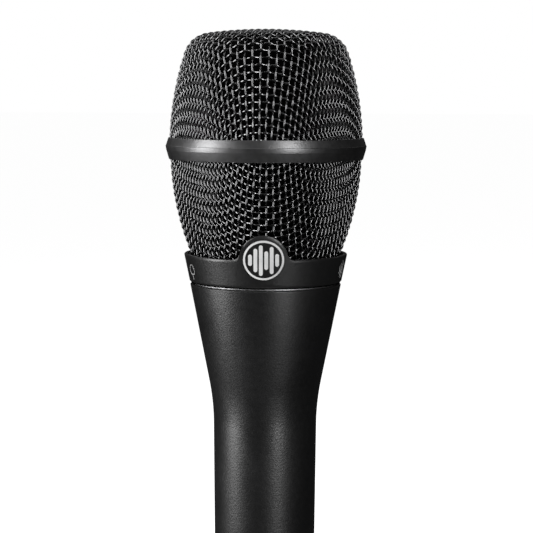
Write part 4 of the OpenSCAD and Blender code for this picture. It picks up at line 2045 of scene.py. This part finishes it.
@dataclass
class Studio:
    """Pale floor, soft lights and the camera.

    Attributes:
        lens: Focal length in millimetres.
        eye_back: Distance of the camera from the axis.
        eye_drop: How far the camera is below the microphone's top.
        eye_right: How far the camera is to the right of the axis.
        eye_turn: How far the camera has gone round to the right, in degrees.
        pitch: How far the camera looks down, in degrees.
        roll: How far it is rolled, in degrees.
        floor_glow: How bright the camera sees the floor, besides its own shade.
        floor_pale: Colour of the floor to the camera.
        floor_dark: Colour of the floor in reflections, as under a dark room.
        room_glow: How bright the room is in reflections.
        lights: The soft lights.
    """

    lens: float = 116.2
    eye_back: float = 430.0 * MM
    eye_drop: float = 14.6 * MM
    eye_right: float = 0.22 * MM
    eye_turn: float = 1.4
    pitch: float = 5.9
    roll: float = 0.23
    floor_glow: float = 0.97
    floor_pale: Color = (0.8, 0.8, 0.8)
    floor_dark: Color = (0.012, 0.012, 0.012)
    room_glow: float = 0.02
    lights: tuple[SoftBox, ...] = (
        SoftBox("left softbox", 71.0, 0.45, 0.2, (0.22, 0.55), 2.5),
        SoftBox("right softbox", -30.0, 0.5, 0.26, (0.11, 0.6), 1.7),
        SoftBox("back left softbox", 136.0, 0.45, 0.66, (0.3, 0.3), 1.0),
        SoftBox("back right softbox", -160.0, 0.45, 0.6, (0.3, 0.3), 0.3),
        SoftBox("top softbox", 10.0, 0.16, 0.72, (0.4, 0.25), 0.24),
        SoftBox("under softbox", 0.0, 0.03, -0.16, (0.1, 0.1), 0.12),
    )

    def build(self) -> None:
        """Makes the whole stage."""
        self.camera()
        self.floor()
        self.world()
        aim = Vector((0, 0, CAD_BOX[1].z * 0.68))
        for light in self.lights:
            light.light(aim)

    def camera(self) -> None:
        """Makes the camera."""
        scene = bpy.context.scene
        data = bpy.data.cameras.new("camera")
        data.lens, data.sensor_width = self.lens, 36.0
        data.clip_start, data.clip_end = 0.01, 50.0
        eye = bpy.data.objects.new("camera", data)
        scene.collection.objects.link(eye)
        turn = math.radians(self.eye_turn)
        spot = Vector((self.eye_right, -self.eye_back, CAD_BOX[1].z - self.eye_drop))
        spot.rotate(Euler((0.0, 0.0, turn)))
        eye.location = spot
        eye.rotation_euler = (math.radians(90.0 - self.pitch), 0.0, turn)
        eye.rotation_euler.rotate_axis("Z", math.radians(self.roll))
        scene.camera = eye
        scene.view_settings.view_transform = "Standard"
        scene.view_settings.look = "None"

    def floor(self) -> None:
        """Makes the pale floor, which looks white from above and lets the lamp below shine through."""
        size, drop = 12.0, -0.05 * MM
        mesh = bpy.data.meshes.new("floor")
        corners = [(-size, -size, drop), (size, -size, drop), (size, size, drop), (-size, size, drop)]
        mesh.from_pydata(corners, [], [(0, 1, 2, 3)])
        material = bpy.data.materials.new("pale_floor")
        material.use_nodes = True
        g = Graph(material.node_tree)
        skin = material.node_tree.nodes["Principled BSDF"]
        skin.inputs["Roughness"].default_value = 0.9
        glow = g.add("ShaderNodeEmission", {"Color": (1.0, 1.0, 1.0, 1.0)})
        path = g.add("ShaderNodeLightPath").outputs
        seen = path["Is Camera Ray"]
        g.feed(skin.inputs["Base Color"], g.mix(seen, (*self.floor_dark, 1.0), (*self.floor_pale, 1.0)))
        g.feed(glow.inputs["Strength"], g.math("MULTIPLY", seen, self.floor_glow))
        both = g.add("ShaderNodeAddShader", {0: skin.outputs[0], 1: glow.outputs[0]})
        below = g.add("ShaderNodeNewGeometry").outputs["Backfacing"]
        open_to = g.math("MAXIMUM", below, path["Is Shadow Ray"])
        clear = g.add("ShaderNodeBsdfTransparent")
        one_sided = g.add("ShaderNodeMixShader", {0: open_to, 1: both.outputs[0], 2: clear.outputs[0]})
        g.feed(material.node_tree.nodes["Material Output"].inputs["Surface"], one_sided.outputs[0])
        mesh.materials.append(material)
        floor = bpy.data.objects.new("floor", mesh)
        bpy.context.scene.collection.objects.link(floor)

    def world(self) -> None:
        """White behind the object, and a dim room in its reflections."""
        world = bpy.data.worlds.new("studio")
        bpy.context.scene.world = world
        world.use_nodes = True
        g = Graph(world.node_tree)
        back = world.node_tree.nodes["Background"]
        back.inputs["Color"].default_value = (1.0, 1.0, 1.0, 1.0)
        seen = g.add("ShaderNodeLightPath").outputs["Is Camera Ray"]
        g.feed(back.inputs["Strength"], g.ranged(seen, self.room_glow, 1.0))


def main() -> None:
    """Builds every piece in order."""
    logging.basicConfig(level=logging.INFO, format="%(name)s: %(message)s")
    Studio().build()
    wires, helix, foam = WireGrower(), HelixGrower(), FoamGrower()
    Handle().build()
    collar = Collar()
    collar.build(helix)
    collar.marks(wires)
    Badge(collar).build()
    grille = Grille()
    grille.build(wires, helix)
    Liners(grille.shape).build(foam)
    Socket().build(wires)
    Capsule().build(helix)


if __name__ == "__main__":
    main()
